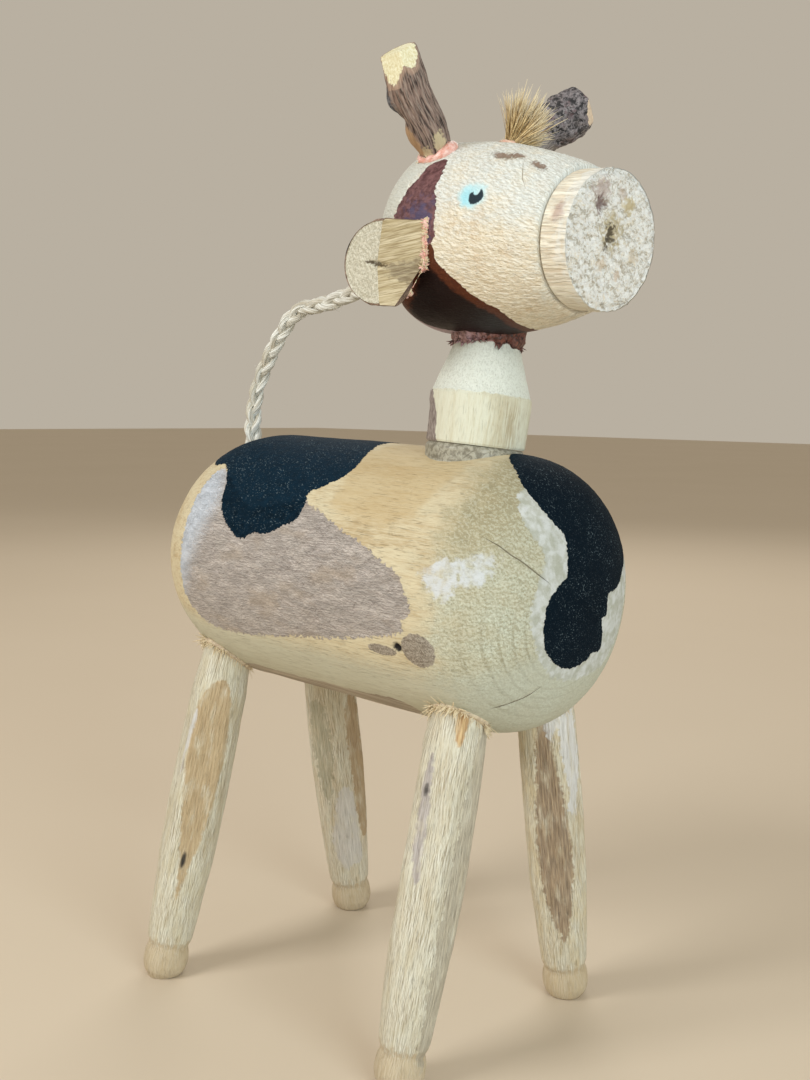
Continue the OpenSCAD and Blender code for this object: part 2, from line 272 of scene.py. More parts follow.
def strands(paths, radii, sides=4, flat=1.0):
    """Many thin tapering tubes: paths is count x points x 3, radii is count x points."""
    way = unit(np.gradient(paths, axis=1))
    side = unit(np.cross(way, [0.31, 0.52, 0.79]))
    up = np.cross(side, way)
    turn = np.arange(sides) * 2 * np.pi / sides
    cos, sin = np.cos(turn)[:, None], np.sin(turn)[:, None] * flat
    ring = (paths[:, :, None] + radii[:, :, None, None]
            * (cos * side[:, :, None] + sin * up[:, :, None]))
    return joined([skin(r) for r in ring])


def wander(starts, ways, lengths, points, bend, seed):
    """Paths that start one way and drift off it, more towards their tips."""
    t = np.linspace(0, 1, points)
    drift = np.random.default_rng(seed).normal(0, 1, (2, len(starts), 1, 3))
    off = drift[0] * t[:, None] ** 2 + drift[1] * 0.5 * t[:, None] ** 3
    ways = unit(ways)[:, None] * t[:, None]
    return starts[:, None] + lengths[:, None, None] * (ways + bend * off)


def make(name, shape, material, node, sharp=None):
    """Turns a shape into a piece that stands for a CAD node."""
    mesh = bpy.data.meshes.new(name)
    corners = shape.points[shape.quads]
    volume = np.einsum("ij,ij->i", corners[:, 0], np.cross(corners[:, 1], corners[:, 2])).sum()
    flip = slice(None, None, -1 if volume < 0 else 1)
    faces = shape.quads[:, flip].tolist() + shape.tris[:, flip].tolist()
    mesh.from_pydata((shape.points * MM).tolist(), [], faces)
    for key, value in shape.paint.items():
        if np.ndim(value) == 2:
            layer = mesh.attributes.new(key, "FLOAT_VECTOR", "POINT")
            layer.data.foreach_set("vector", value.astype(np.float32).ravel())
        else:
            layer = mesh.attributes.new(key, "FLOAT", "POINT")
            layer.data.foreach_set("value", value.astype(np.float32))
    mesh.update()
    mesh.shade_smooth()
    if sharp:
        mesh.set_sharp_from_angle(angle=math.radians(sharp))
    piece = bpy.data.objects.new(name, mesh)
    bpy.context.scene.collection.objects.link(piece)
    mesh.materials.append(material)
    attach(piece, "root")
    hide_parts(node)
    return piece


# ------------------------------------------------------------------ shader nodes

class Shader:
    """A material, built node by node. Lengths in its textures are millimetres."""

    def __init__(self, name):
        self.material = bpy.data.materials.new(name)
        self.material.use_nodes = True
        self.tree = self.material.node_tree
        self.tree.nodes.clear()
        self.cache = {}

    def put(self, socket, value):
        if isinstance(value, bpy.types.NodeSocket):
            self.tree.links.new(value, socket)
        elif isinstance(value, tuple) and socket.type == "RGBA":
            socket.default_value = (*value, 1)
        else:
            socket.default_value = value

    def add(self, kind, inputs, **settings):
        node = self.tree.nodes.new(kind)
        for key, value in settings.items():
            setattr(node, key, value)
        for key, value in inputs.items():
            self.put(node.inputs[key], value)
        return node

    def paint(self, name, vector=False):
        """What the mesh says under that name: a number or, as a vector, a place."""
        if (name, vector) not in self.cache:
            node = self.add("ShaderNodeAttribute", {}, attribute_name=name)
            self.cache[name, vector] = node.outputs["Vector" if vector else "Fac"]
        return self.cache[name, vector]

    def grain(self):
        return self.paint("grain", True)

    def times(self, vector, scale):
        inputs = {0: vector, 1: scale}
        return self.add("ShaderNodeVectorMath", inputs, operation="MULTIPLY").outputs[0]

    def plus(self, vector, shift):
        return self.add("ShaderNodeVectorMath", {0: vector, 1: shift}).outputs[0]

    def turned(self, vector, degrees, axis=(0, 0, 1)):
        inputs = {"Vector": vector, "Axis": axis, "Angle": math.radians(degrees)}
        return self.add("ShaderNodeVectorRotate", inputs).outputs[0]

    def noise(self, vector, size, detail=3.0, warp=0.0, rough=0.55):
        """Noise from 0 to 1 in lumps of about that size."""
        inputs = {"Vector": vector, "Scale": 1 / size, "Detail": detail, "Roughness": rough,
                  "Distortion": warp}
        return self.add("ShaderNodeTexNoise", inputs).outputs[0]

    def rings(self, vector, gap, wobble=2.0):
        """Growth rings round the X axis of that vector, about that far apart."""
        inputs = {"Vector": vector, "Scale": 0.314 / gap, "Distortion": wobble,
                  "Detail": 3.0, "Detail Scale": 0.35 * gap}
        return self.add("ShaderNodeTexWave", inputs, wave_type="RINGS",
                        rings_direction="X").outputs["Fac"]

    def lit(self, vector, size, towards, detail=4.0, warp=0.3):
        """Painted light and shade on lumps of that size: near 1 on the sides that face that way, near 0
        behind them.
        """
        here = self.noise(vector, size, detail, warp)
        there = self.noise(self.plus(vector, towards), size, detail, warp)
        return self.band(self.math("SUBTRACT", here, there), -0.12, 0.12)

    def math(self, kind, a, b=0.0):
        return self.add("ShaderNodeMath", {0: a, 1: b}, operation=kind).outputs[0]

    def mul(self, a, b):
        return self.math("MULTIPLY", a, b)

    def streak(self, vector, scale, size, *more, **settings):
        """Noise that is stretched along the axes that scale makes small."""
        return self.noise(self.times(vector, scale), size, *more, **settings)

    def sum(self, *terms):
        total = terms[0]
        for term in terms[1:]:
            total = self.math("ADD", total, term)
        return total

    def band(self, value, low, high, bottom=0.0, top=1.0):
        """A smooth step from bottom to top as the value goes from low to high."""
        inputs = {"Value": value, "From Min": low, "From Max": high, "To Min": bottom,
                  "To Max": top}
        node = self.add("ShaderNodeMapRange", inputs, interpolation_type="SMOOTHSTEP")
        return node.outputs[0]

    def mix(self, factor, a, b, blend="MIX"):
        node = self.tree.nodes.new("ShaderNodeMix")
        node.data_type = "RGBA"
        node.blend_type = blend
        for index, value in ((0, factor), (6, a), (7, b)):
            self.put(node.inputs[index], value)
        return node.outputs[2]

    def spot(self, vector, centre, radii, soft=0.15, rag=0.0, size=1.0):
        """1 inside an oval spot at that place, with a ragged edge, and 0 outside."""
        shift = tuple(-c for c in centre)
        scale = tuple(1 / r for r in radii)
        near = self.times(self.plus(vector, shift), scale)
        far = self.add("ShaderNodeVectorMath", {0: near}, operation="LENGTH").outputs["Value"]
        if rag:
            uneven = self.band(self.noise(vector, size, 2.0), 0.2, 0.8, -rag, rag)
            far = self.math("ADD", far, uneven)
        return self.band(far, 1 + soft, 1 - soft)

    def patch(self, name, rag=0.5, size=1.0, soft=0.1, shift=0.0, detail=3.0):
        """1 where the mesh is painted under that name, with a ragged edge."""
        uneven = self.band(self.noise(self.grain(), size, detail), 0.2, 0.8, -rag, rag)
        depth = self.sum(self.paint(name), uneven, shift)
        return self.band(depth, -soft, soft)

    def done(self, colour, roughness, relief, depth=0.15, specular=0.35, coat=0.0, sheen=0.0):
        """Ends the material. relief is from 0 to 1, and depth is what 1 stands for."""
        bump = self.add("ShaderNodeBump", {"Height": relief, "Distance": depth * MM,
                                           "Strength": 1.0})
        inputs = {"Base Color": colour, "Roughness": roughness, "Normal": bump.outputs[0],
                  "Specular IOR Level": specular, "Coat Weight": coat, "Coat Roughness": 0.2,
                  "Sheen Weight": sheen}
        surface = self.add("ShaderNodeBsdfPrincipled", inputs)
        out = self.add("ShaderNodeOutputMaterial", {})
        self.tree.links.new(surface.outputs[0], out.inputs["Surface"])
        return self.material


def wood(s, light, dark, ring_gap=4.0, ring=0.25, pore=0.5, dirt=0.4):
    """Colour and relief of bare wood: rings, streaks, fine fibres, pores and grime."""
    grain = s.grain()
    streak = s.streak(grain, (0.04, 1, 1), 1.1, 6.0, 0.2)
    fine = s.streak(grain, (0.1, 1, 1), 0.28, 3.0)
    blotch = s.streak(grain, (0.4, 1, 1), 9.0, 4.0)
    pores = s.band(s.streak(grain, (0.06, 1, 1), 0.24, 2.0), 0.60, 0.74)
    rings = s.band(s.rings(grain, ring_gap), 0.55, 1.0)
    shade = s.sum(s.mul(rings, ring), s.band(streak, 0.3, 0.75, -0.05, 0.4),
                  s.band(fine, 0.3, 0.75, -0.22, 0.34), s.band(blotch, 0.3, 0.7, -0.15, 0.3))
    colour = s.mix(s.band(shade, -0.1, 0.9), light, dark)
    colour = s.mix(s.mul(pores, pore), colour, tuple(c * 0.35 for c in dark))
    grime = s.band(s.noise(grain, 4.0, 6.0, 0.5, 0.65), 0.58, 0.74, 0.0, dirt)
    colour = s.mix(grime, colour, tuple(c * f for c, f in zip(dark, (0.6, 0.62, 0.68))))
    relief = s.sum(s.mul(fine, 1.0), s.mul(streak, 0.6),
                   s.mul(pores, -0.5))
    return colour, relief


# ------------------------------------------------------------------ materials

CREAM, HONEY = (0.66, 0.59, 0.41), (0.48, 0.37, 0.21)
BLUE_BLACK = (0.002, 0.009, 0.017)


def fibres(s, vector, width, seeds=(0, 38, -31), stretch=0.14):
    """Short fibres that lie across each other, from 0 to 1."""
    bent = s.add("ShaderNodeTexNoise", {"Vector": vector, "Scale": 0.2}).outputs[1]
    bent = s.add("ShaderNodeVectorMath", {0: vector, 1: s.times(bent, (5, 5, 5))}).outputs[0]
    total = 0.0
    for turn in seeds:
        along = s.times(s.turned(bent, turn), (stretch, 1, stretch * 3))
        total = s.math("MAXIMUM", total, s.noise(along, width, 2.0))
    return s.band(total, 0.42, 0.78)


def body_wood():
    s = Shader("body_wood")
    grain, across = s.grain(), s.paint("skin", True)
    colour, relief = wood(s, CREAM, HONEY, 4.5, 0.12, 0.45)
    chest = s.paint("chest")
    stipple = s.noise(grain, 0.45, 5.0, 0.4)
    grey = s.mix(s.band(stipple, 0.34, 0.64), (0.40, 0.43, 0.33), (0.64, 0.70, 0.61))
    shade = s.band(s.streak(grain, (0.5, 1, 1), 7.0, 4.0), 0.35, 0.65, 0.0, 0.5)
    grey = s.mix(shade, grey, (0.47, 0.43, 0.29))
    thin = s.band(s.rings(grain, 2.6, 1.6), 0.80, 1.0, 0.0, 0.8)
    thin = s.mul(thin, s.spot(grain, (66, -6, -12), (26, 21, 15), 0.7))
    grey = s.mix(thin, grey, (0.27, 0.26, 0.18))
    shoulder = s.spot(grain, (46, -8, 32), (19, 30, 25), 0.6)
    grey = s.mix(s.mul(shoulder, 0.85), grey, (0.27, 0.23, 0.12))
    # painted light and shade on the chest's small lumps: pale highlight on their upper sides, dark
    # painted shadow below them
    chips_and_lit_chips = s.lit(grain, 0.8, (0.1, 0.1, 0.35))
    grey = s.mix(s.band(chips_and_lit_chips, 0.0, 0.5, 0.45, 0.0), grey, (0.22, 0.21, 0.13))
    grey = s.mix(s.band(chips_and_lit_chips, 0.5, 1.0, 0.0, 0.35), grey, (0.66, 0.70, 0.60))
    brushed = s.band(s.streak(grain, (0.07, 1, 1), 0.6, 4.0), 0.4, 0.7, 0.0, 0.35)
    grey = s.mix(brushed, grey, (0.36, 0.33, 0.22))
    edge = s.sum(chest, s.band(s.noise(grain, 5.0, 6.0), 0.3, 0.7, -0.2, 0.2))
    colour = s.mix(s.band(edge, 0.0, 1.0, 0.0, 0.85), colour, grey)
    low = s.band(s.sum(s.paint("low"), s.band(stipple, 0.3, 0.7, -0.1, 0.1)), 0.2, 0.8, 0, 0.6)
    colour = s.mix(low, colour, (0.50, 0.53, 0.45))
    tan = s.patch("tan_top", 3.0, 9.0, 2.5)
    colour = s.mix(s.mul(tan, 0.55), colour, (0.52, 0.39, 0.20))

    strip = s.patch("belly_strip", 0.5, 3.0, 0.3)
    lines = s.band(s.streak(across, (0.03, 1, 1), 1.0, 4.0), 0.35, 0.65)
    striped = s.mix(lines, (0.22, 0.16, 0.12), (0.50, 0.42, 0.33))
    colour = s.mix(s.mul(strip, 0.8), colour, striped)

    raw = s.patch("raw", 0.75, 0.9, 0.10)
    hair = fibres(s, across, 0.2, (0, 24, -16), 0.12)
    mottle = s.noise(across, 6.0, 3.0)
    taupe = s.mix(s.band(mottle, 0.35, 0.65), (0.50, 0.455, 0.43), (0.60, 0.55, 0.51))
    brush = s.streak(s.turned(across, 4), (0.05, 1, 1), 0.34, 4.0)
    taupe = s.mix(s.band(brush, 0.38, 0.62, 0.0, 0.65), taupe, (0.30, 0.25, 0.225))
    taupe = s.mix(s.band(hair, 0.3, 0.9, 0.0, 0.4), taupe, (0.70, 0.65, 0.60))
    dark = s.band(s.streak(s.turned(across, 60), (0.15, 1, 1), 0.5, 2.0), 0.60, 0.70)
    taupe = s.mix(s.mul(dark, 0.45), taupe, (0.15, 0.11, 0.09))
    # painted light and shade on the bark fibres: dark painted shadow on one side of each, pale
    # highlight on the other
    lit_comb = s.lit(s.times(across, (0.3, 1, 1)), 0.45, (0, -0.2, 0), 4.0, 0.9)
    taupe = s.mix(s.band(lit_comb, 0.0, 0.5, 0.4, 0.0), taupe, (0.22, 0.18, 0.16))
    taupe = s.mix(s.band(lit_comb, 0.5, 1.0, 0.0, 0.4), taupe, (0.72, 0.67, 0.62))
    tan = s.band(s.streak(across, (0.5, 1, 1), 9.0, 4.0), 0.5, 0.66, 0.0, 0.45)
    taupe = s.mix(tan, taupe, (0.44, 0.35, 0.26))
    pale = s.band(s.sum(s.paint("lilac"), s.band(hair, 0, 1, -1.5, 1.5)), -4.0, 5.0)
    taupe = s.mix(s.mul(pale, 0.9), taupe, (0.64, 0.71, 0.81))
    colour = s.mix(raw, colour, taupe)

    primer = s.patch("primer", 0.7, 1.4, 0.4)
    worn = s.band(s.noise(grain, 2.4, 7.0, 0.3), 0.34, 0.66)
    chalky = s.mix(worn, (0.42, 0.44, 0.38), (0.62, 0.65, 0.65))
    colour = s.mix(s.mul(primer, 0.9), colour, chalky)
    smear = s.patch("smear", 1.1, 1.5, 0.8)
    smear = s.mul(smear, s.band(s.noise(grain, 3.0, 7.0), 0.30, 0.62))
    colour = s.mix(s.mul(smear, 0.85), colour, (0.63, 0.67, 0.71))

    knot = s.patch("knot", 0.25, 0.8, 0.15)
    swirl = s.band(s.streak(across, (0.7, 1, 1), 0.5, 4.0, 1.5), 0.38, 0.62)
    knotty = s.mix(swirl, (0.15, 0.12, 0.095), (0.38, 0.34, 0.29))
    colour = s.mix(s.mul(knot, 0.9), colour, knotty)
    hole = s.patch("knot_hole", 0.2, 0.6, 0.35)
    colour = s.mix(hole, colour, (0.012, 0.010, 0.010))

    black = s.math("MAXIMUM", s.patch("black_rump", 0.42, 0.8, 0.07),
                   s.patch("black_chest", 0.30, 0.9, 0.06))
    speck = s.band(s.streak(s.turned(grain, 25), (0.45, 1, 1), 0.34, 2.0), 0.60, 0.70)
    dusty = s.band(s.noise(grain, 6.0, 4.0), 0.40, 0.65, 0.25, 1.0)
    towards_chest = s.paint("chest")
    deep_blue = s.mix(towards_chest, (0.003, 0.024, 0.049), (0.001, 0.006, 0.012))
    paint = s.mix(s.noise(across, 2.0, 4.0), deep_blue, BLUE_BLACK)
    paint = s.mix(s.mul(speck, dusty), paint, (0.15, 0.20, 0.225))
    colour = s.mix(black, colour, paint)

    for name in ("crack_high", "crack_low"):
        place = s.paint(name, True)
        line = s.spot(place, (0.5, 0, 0), (0.5, 0.16, 9), 0.3)
        line = s.mul(line, s.math("SUBTRACT", 1.0, black))
        colour = s.mix(s.mul(line, 0.7), colour, (0.14, 0.10, 0.06))
        relief = s.sum(relief, s.mul(line, -1.5))
    relief = s.sum(relief, s.mul(hair, s.mul(raw, 1.2)),
                   s.mul(black, s.band(s.noise(across, 0.35, 3.0), 0, 1, 0.7, 1.3)),
                   s.mul(s.mul(stipple, chest), 0.8))
    shine = s.band(black, 0, 1, 0.3, 0.06)
    return s.done(colour, 0.7, relief, 0.17, shine)


def head_wood():
    s = Shader("head_wood")
    grain, across = s.grain(), s.paint("skin", True)
    under, relief = wood(s, (0.83, 0.77, 0.63), (0.72, 0.61, 0.44), 3.2, 0.15, 0.3, 0.2)
    ridge = s.paint("ridge")
    dust = s.streak(across, (0.5, 1, 1), 0.55, 5.0, 0.3)
    washed = s.mix(s.band(dust, 0.3, 0.7), (0.62, 0.645, 0.62), (0.77, 0.83, 0.83))
    wash = s.sum(s.paint("wash"), s.band(dust, 0.3, 0.7, -0.12, 0.12),
                 s.mul(ridge, 0.16),
                 s.band(s.noise(across, 6.0, 4.0), 0.3, 0.7, -0.25, 0.25))
    colour = s.mix(s.band(wash, 0.0, 1.0, 0.0, 0.92), under, washed)
    orange = s.band(s.streak(across, (1, 0.7, 1), 4.5, 4.0), 0.48, 0.70, 0.0, 0.45)
    orange = s.mul(orange, s.band(ridge, 0.8, -0.4))
    orange = s.mul(orange, s.band(s.paint("wash"), 0.9, 0.2, 0.35, 1.0))
    colour = s.mix(orange, colour, (0.60, 0.44, 0.27))
    dents = s.band(s.streak(across, (0.6, 1, 1), 0.42, 3.0), 0.60, 0.70, 0.0, 0.5)
    colour = s.mix(dents, colour, (0.42, 0.36, 0.24))
    # painted light and shade on small lumps of the head: dark painted shadow on one side, white
    # highlight on the other
    chips_and_lit_chips = s.lit(s.times(s.turned(across, -18), (0.55, 1, 1)), 0.9, (0.05, -0.3, 0))
    colour = s.mix(s.band(chips_and_lit_chips, 0.0, 0.5, 0.32, 0.0), colour, (0.42, 0.38, 0.27))
    colour = s.mix(s.band(chips_and_lit_chips, 0.5, 1.0, 0.0, 0.4), colour, (0.93, 0.94, 0.88))
    for centre, radii in (((22.6, -12.0, 17.6), (2.6, 1.0, 9)),
                          ((26.2, -10.6, 17.8), (2.0, 0.8, 9)),
                          ((33.0, -10.8, 15.4), (1.8, 0.8, 9))):
        gouge = s.spot(grain, centre, radii, 0.5, 0.5, 0.7)
        colour = s.mix(s.mul(gouge, 0.85), colour, (0.20, 0.115, 0.07))
        relief = s.sum(relief, s.mul(gouge, -2.0))
    crack = s.spot(s.paint("crack", True), (0.5, 0, 0), (0.5, 0.13, 9), 0.4)
    colour = s.mix(s.mul(crack, 0.7), colour, (0.25, 0.20, 0.13))
    white = s.patch("white_band", 0.8, 2.5, 0.7)
    colour = s.mix(s.mul(white, 0.8), colour, (0.58, 0.60, 0.55))

    maroon = s.patch("maroon", 0.35, 0.9, 0.08)
    cloud = s.noise(across, 1.6, 5.0, 0.6)
    stain = s.mix(s.band(cloud, 0.35, 0.65), (0.085, 0.030, 0.034), (0.20, 0.092, 0.095))
    blue = s.spot(grain, (8.2, -23.2, 1.8), (4.2, 9, 4.8), 0.6, 0.7, 1.8)
    stain = s.mix(s.mul(blue, 0.85), stain, (0.075, 0.065, 0.145))
    colour = s.mix(maroon, colour, stain)

    dark = s.patch("chocolate", 0.30, 1.5, 0.10)
    rim = s.band(s.sum(s.paint("chocolate"), s.band(cloud, 0.3, 0.7, -0.5, 0.5)), 3.4, 2.0)
    lacquer = s.mix(rim, (0.010, 0.003, 0.003), (0.085, 0.022, 0.009))
    rag = s.band(s.noise(across, 0.8, 4.0), 0.45, 0.75, 0.0, 0.5)
    lacquer = s.mix(s.mul(rim, rag), lacquer, (0.16, 0.055, 0.025))
    colour = s.mix(dark, colour, lacquer)
    lilac = s.patch("lilac", 0.5, 1.2, 0.4)
    colour = s.mix(s.mul(lilac, 0.85), colour, (0.48, 0.36, 0.42))

    for side in (-1, 1):
        eye = s.spot(grain, (22.1, side * 20.1, 8.0), (3.6, 4.5, 3.0), 0.30, 0.22, 2.6)
        cyan = s.spot(grain, (20.2, side * 20.3, 7.2), (2.6, 5, 2.4), 0.8)
        blue_paint = s.mix(cyan, (0.60, 0.83, 0.88), (0.38, 0.76, 0.88))
        colour = s.mix(s.mul(eye, 0.95), colour, blue_paint)
        pupil = s.spot(grain, (23.0, side * 19.8, 7.6), (1.75, 4, 1.8), 0.12, 0.16, 1.2)
        notch = s.spot(grain, (22.7, side * 19.4, 9.2), (0.85, 4, 1.25), 0.15, 0.1, 0.7)
        pupil = s.mul(pupil, s.math("SUBTRACT", 1.0, notch))
        colour = s.mix(pupil, colour, (0.014, 0.030, 0.045))
        relief = s.sum(relief, s.mul(eye, 0.8), s.mul(pupil, 0.5))
    bare = s.math("SUBTRACT", 1.0, s.math("MAXIMUM", maroon, dark))
    tilted = s.times(s.turned(across, -18), (0.42, 1, 1))
    chatter = s.mul(s.noise(tilted, 0.62, 2.0, 0.5), bare)
    relief = s.sum(relief, s.mul(dust, 1.2), s.mul(dark, 0.8),
                   s.mul(chatter, 3.4))
    rough = s.band(dark, 0, 1, 0.75, 0.42)
    rough = s.math("SUBTRACT", rough, s.mul(maroon, 0.2))
    return s.done(colour, rough, relief, 0.14, s.band(dark, 0, 1, 0.3, 0.16))


def snout_wood():
    s = Shader("snout_wood")
    grain, face = s.grain(), s.paint("face")
    side, relief = wood(s, (0.93, 0.91, 0.80), (0.82, 0.74, 0.58), 3.0, 0.1, 0.2, 0.2)
    tears = s.band(s.streak(grain, (0.12, 1, 1), 0.7, 4.0), 0.42, 0.66)
    side = s.mix(s.mul(tears, 0.35), side, (0.64, 0.49, 0.34))
    chalky = s.sum(s.paint("rim"), s.band(s.noise(grain, 1.6, 5.0), 0.3, 0.7, -0.35, 0.35))
    chalky = s.band(chalky, 0.25, 0.9, 0.0, 0.9)
    side = s.mix(chalky, side, (0.88, 0.88, 0.82))
    pink = s.spot(grain, (43.6, -15.5, 4.6), (1.5, 9, 2.0), 0.6, 0.3, 1.0)
    side = s.mix(s.mul(pink, 0.7), side, (0.48, 0.33, 0.28))
    crumb = s.noise(grain, 0.9, 5.0, 0.3, 0.65)
    big = s.noise(grain, 2.6, 4.0, 0.3)
    end = s.mix(s.band(crumb, 0.34, 0.52), (0.66, 0.60, 0.50), (0.93, 0.94, 0.91))
    end = s.mix(s.band(big, 0.54, 0.70, 0.0, 0.55), end, (0.78, 0.66, 0.44))
    # painted light and shade on the end grain's crumbs and chips: lit from above, dark painted shadow
    # under each, white highlight on top
    small = s.lit(grain, 0.8, (0, 0.1, 0.3), 4.0, 0.3)
    large = s.lit(grain, 2.6, (0, 0.3, 0.9), 6.0, 0.6)
    chips_and_lit_chips = s.sum(s.mul(small, 0.35), s.mul(large, 0.65))
    end = s.mix(s.band(chips_and_lit_chips, 0.08, 0.42, 0.62, 0.0), end, (0.38, 0.33, 0.24))
    end = s.mix(s.band(chips_and_lit_chips, 0.5, 0.85, 0.0, 0.7), end, (0.97, 0.98, 0.97))
    for centre, size, shade, share in (((-5.4, 10.4), 2.8, (0.54, 0.44, 0.41), 0.75),
                                       ((2.0, 10.5), 1.6, (0.50, 0.38, 0.30), 0.5),
                                       ((4.4, 7.8), 1.9, (0.62, 0.52, 0.31), 0.9),
                                       ((-0.6, 2.0), 3.9, (0.56, 0.47, 0.27), 0.8),
                                       ((-3.0, -5.5), 1.6, (0.70, 0.53, 0.34), 0.5),
                                       ((2.6, -7.5), 1.2, (0.66, 0.48, 0.32), 0.5),
                                       ((7.5, -3.0), 1.8, (0.60, 0.46, 0.26), 0.5)):
        mark = s.spot(grain, (0, *centre), (99, size, size), 0.4, 0.5, 1.0)
        end = s.mix(s.mul(mark, share), end, shade)
    nostril = s.spot(grain, (0, -5.2, 7.4), (99, 2.0, 2.2), 0.4, 0.4, 0.9)
    end = s.mix(s.mul(nostril, 0.85), end, (0.22, 0.145, 0.135))
    pith = s.spot(grain, (0, -1.2, 0.8), (99, 1.4, 2.3), 0.5, 1.2, 1.2)
    end = s.mix(s.mul(pith, 0.85), end, (0.07, 0.055, 0.035))
    pits = s.band(s.noise(grain, 0.8, 2.0), 0.66, 0.76, 0.0, 0.5)
    end = s.mix(pits, end, (0.30, 0.24, 0.17))
    colour = s.mix(s.band(face, 0.35, 0.65), side, end)
    lumps = s.noise(grain, 1.1, 4.0, 0.8)
    rough_relief = s.sum(s.mul(crumb, 4.0), s.mul(lumps, 4.0),
                         s.mul(pits, -1.0))
    flank = s.math("SUBTRACT", 1.0, face)
    whole = s.sum(relief, s.mul(s.mul(tears, flank), -1.4),
                  s.mul(face, rough_relief))
    return s.done(colour, 0.85, whole, 0.2, 0.25)


def neck_wood():
    s = Shader("neck_wood")
    grain, across = s.grain(), s.paint("skin", True)
    colour, relief = wood(s, (0.68, 0.69, 0.57), (0.57, 0.54, 0.40), 3.0, 0.2, 0.3, 0.2)
    streaks = s.spot(across, (7, 8.2, 0), (7.5, 3.4, 9), 0.7, 0.5, 2.0)
    lines = s.band(s.streak(across, (0.06, 1, 1), 0.55, 3.0), 0.42, 0.62)
    brown = s.mul(s.mul(streaks, lines), 0.6)
    colour = s.mix(brown, colour, (0.36, 0.27, 0.15))
    cone = s.band(s.sum(s.paint("cone"), s.band(s.noise(grain, 1.5, 4.0), 0.3, 0.7, -0.3, 0.3)),
                  0.3, 0.7)
    fleck = s.streak(grain, (0.7, 1, 1), 0.42, 4.0, 0.3)
    chalky = s.mix(s.band(fleck, 0.32, 0.55), (0.57, 0.60, 0.54), (0.72, 0.76, 0.70))
    specks = s.band(s.streak(grain, (0.45, 1, 1), 0.36, 2.0), 0.66, 0.74, 0.0, 0.7)
    chalky = s.mix(specks, chalky, (0.24, 0.25, 0.22))
    colour = s.mix(s.mul(cone, 0.9), colour, chalky)
    bark = s.patch("bark", 0.3, 1.5, 0.12)
    stripes = s.band(s.streak(across, (0.25, 1, 1), 0.5, 4.0), 0.35, 0.65)
    barky = s.mix(stripes, (0.17, 0.135, 0.125), (0.42, 0.37, 0.34))
    colour = s.mix(bark, colour, barky)
    relief = s.sum(relief, s.mul(s.mul(fleck, cone), 1.2),
                   s.mul(s.mul(stripes, bark), 1.0))
    return s.done(colour, 0.8, relief, 0.14, 0.25)


def leg_wood(name, light, dark, marks):
    """One leg's wood; marks are the colours of what is painted on it, in order."""
    s = Shader(name)
    across = s.paint("skin", True)
    colour, relief = wood(s, light, dark, 2.6, 0.2, 0.5, 0.45)
    chalk = s.band(s.streak(across, (0.25, 1, 1), 2.6, 8.0, 0.0, 0.7), 0.36, 0.64, 0.0, 0.7)
    colour = s.mix(chalk, colour, (0.70, 0.70, 0.60))
    worn = s.band(s.streak(across, (0.12, 1, 1), 1.6, 8.0, 0.0, 0.7), 0.48, 0.70, 0.0, 0.6)
    colour = s.mix(worn, colour, (0.38, 0.33, 0.22))
    dashes = s.band(s.streak(across, (0.05, 1, 1), 0.26, 2.0), 0.60, 0.72, 0.0, 0.6)
    colour = s.mix(dashes, colour, (0.20, 0.15, 0.08))
    grooves = s.band(s.streak(across, (0.025, 1, 1), 0.42, 3.0), 0.56, 0.68, 0.0, 0.5)
    colour = s.mix(grooves, colour, (0.27, 0.21, 0.13))
    # painted shade and highlight on fine ridges along the leg: dark on their shadowed side, pale gleam
    # on their lit side
    lit_ridges = s.lit(s.times(across, (0.12, 1, 1)), 0.42, (0, -0.2, 0), 4.0, 0.2)
    where = s.band(s.noise(across, 7.0, 3.0), 0.35, 0.65, 0.15, 1.0)
    shade = s.mul(s.band(lit_ridges, 0.0, 0.5, 0.5, 0.0), where)
    colour = s.mix(shade, colour, (0.26, 0.21, 0.14))
    gleam = s.mul(s.band(lit_ridges, 0.5, 1.0, 0.0, 0.4), where)
    colour = s.mix(gleam, colour, (0.86, 0.86, 0.80))
    foot = s.band(s.sum(s.paint("foot"), s.band(s.noise(across, 1.5, 4.0), 0.3, 0.7, -0.3, 0.3)),
                  0.2, 0.8, 0.0, 0.65)
    colour = s.mix(foot, colour, (0.50, 0.39, 0.245))
    for mark, tone_a, tone_b, rag, share in marks:
        area = s.patch(mark, rag, 1.6, 0.5, 0.0, 5.0)
        worn_off = s.band(s.streak(across, (0.35, 1, 1), 2.6, 5.0), 0.30, 0.52, 0.45, 1.0)
        area = s.mul(area, worn_off)
        lines = s.band(s.streak(across, (0.07, 1, 1), 0.5, 4.0), 0.35, 0.65)
        colour = s.mix(s.mul(area, share), colour, s.mix(lines, tone_a, tone_b))
        relief = s.sum(relief, s.mul(s.mul(area, lines), 0.6))
    relief = s.sum(relief, s.mul(dashes, -1.2), s.mul(chalk, 0.4))
    return s.done(colour, 0.78, relief, 0.18, 0.3)


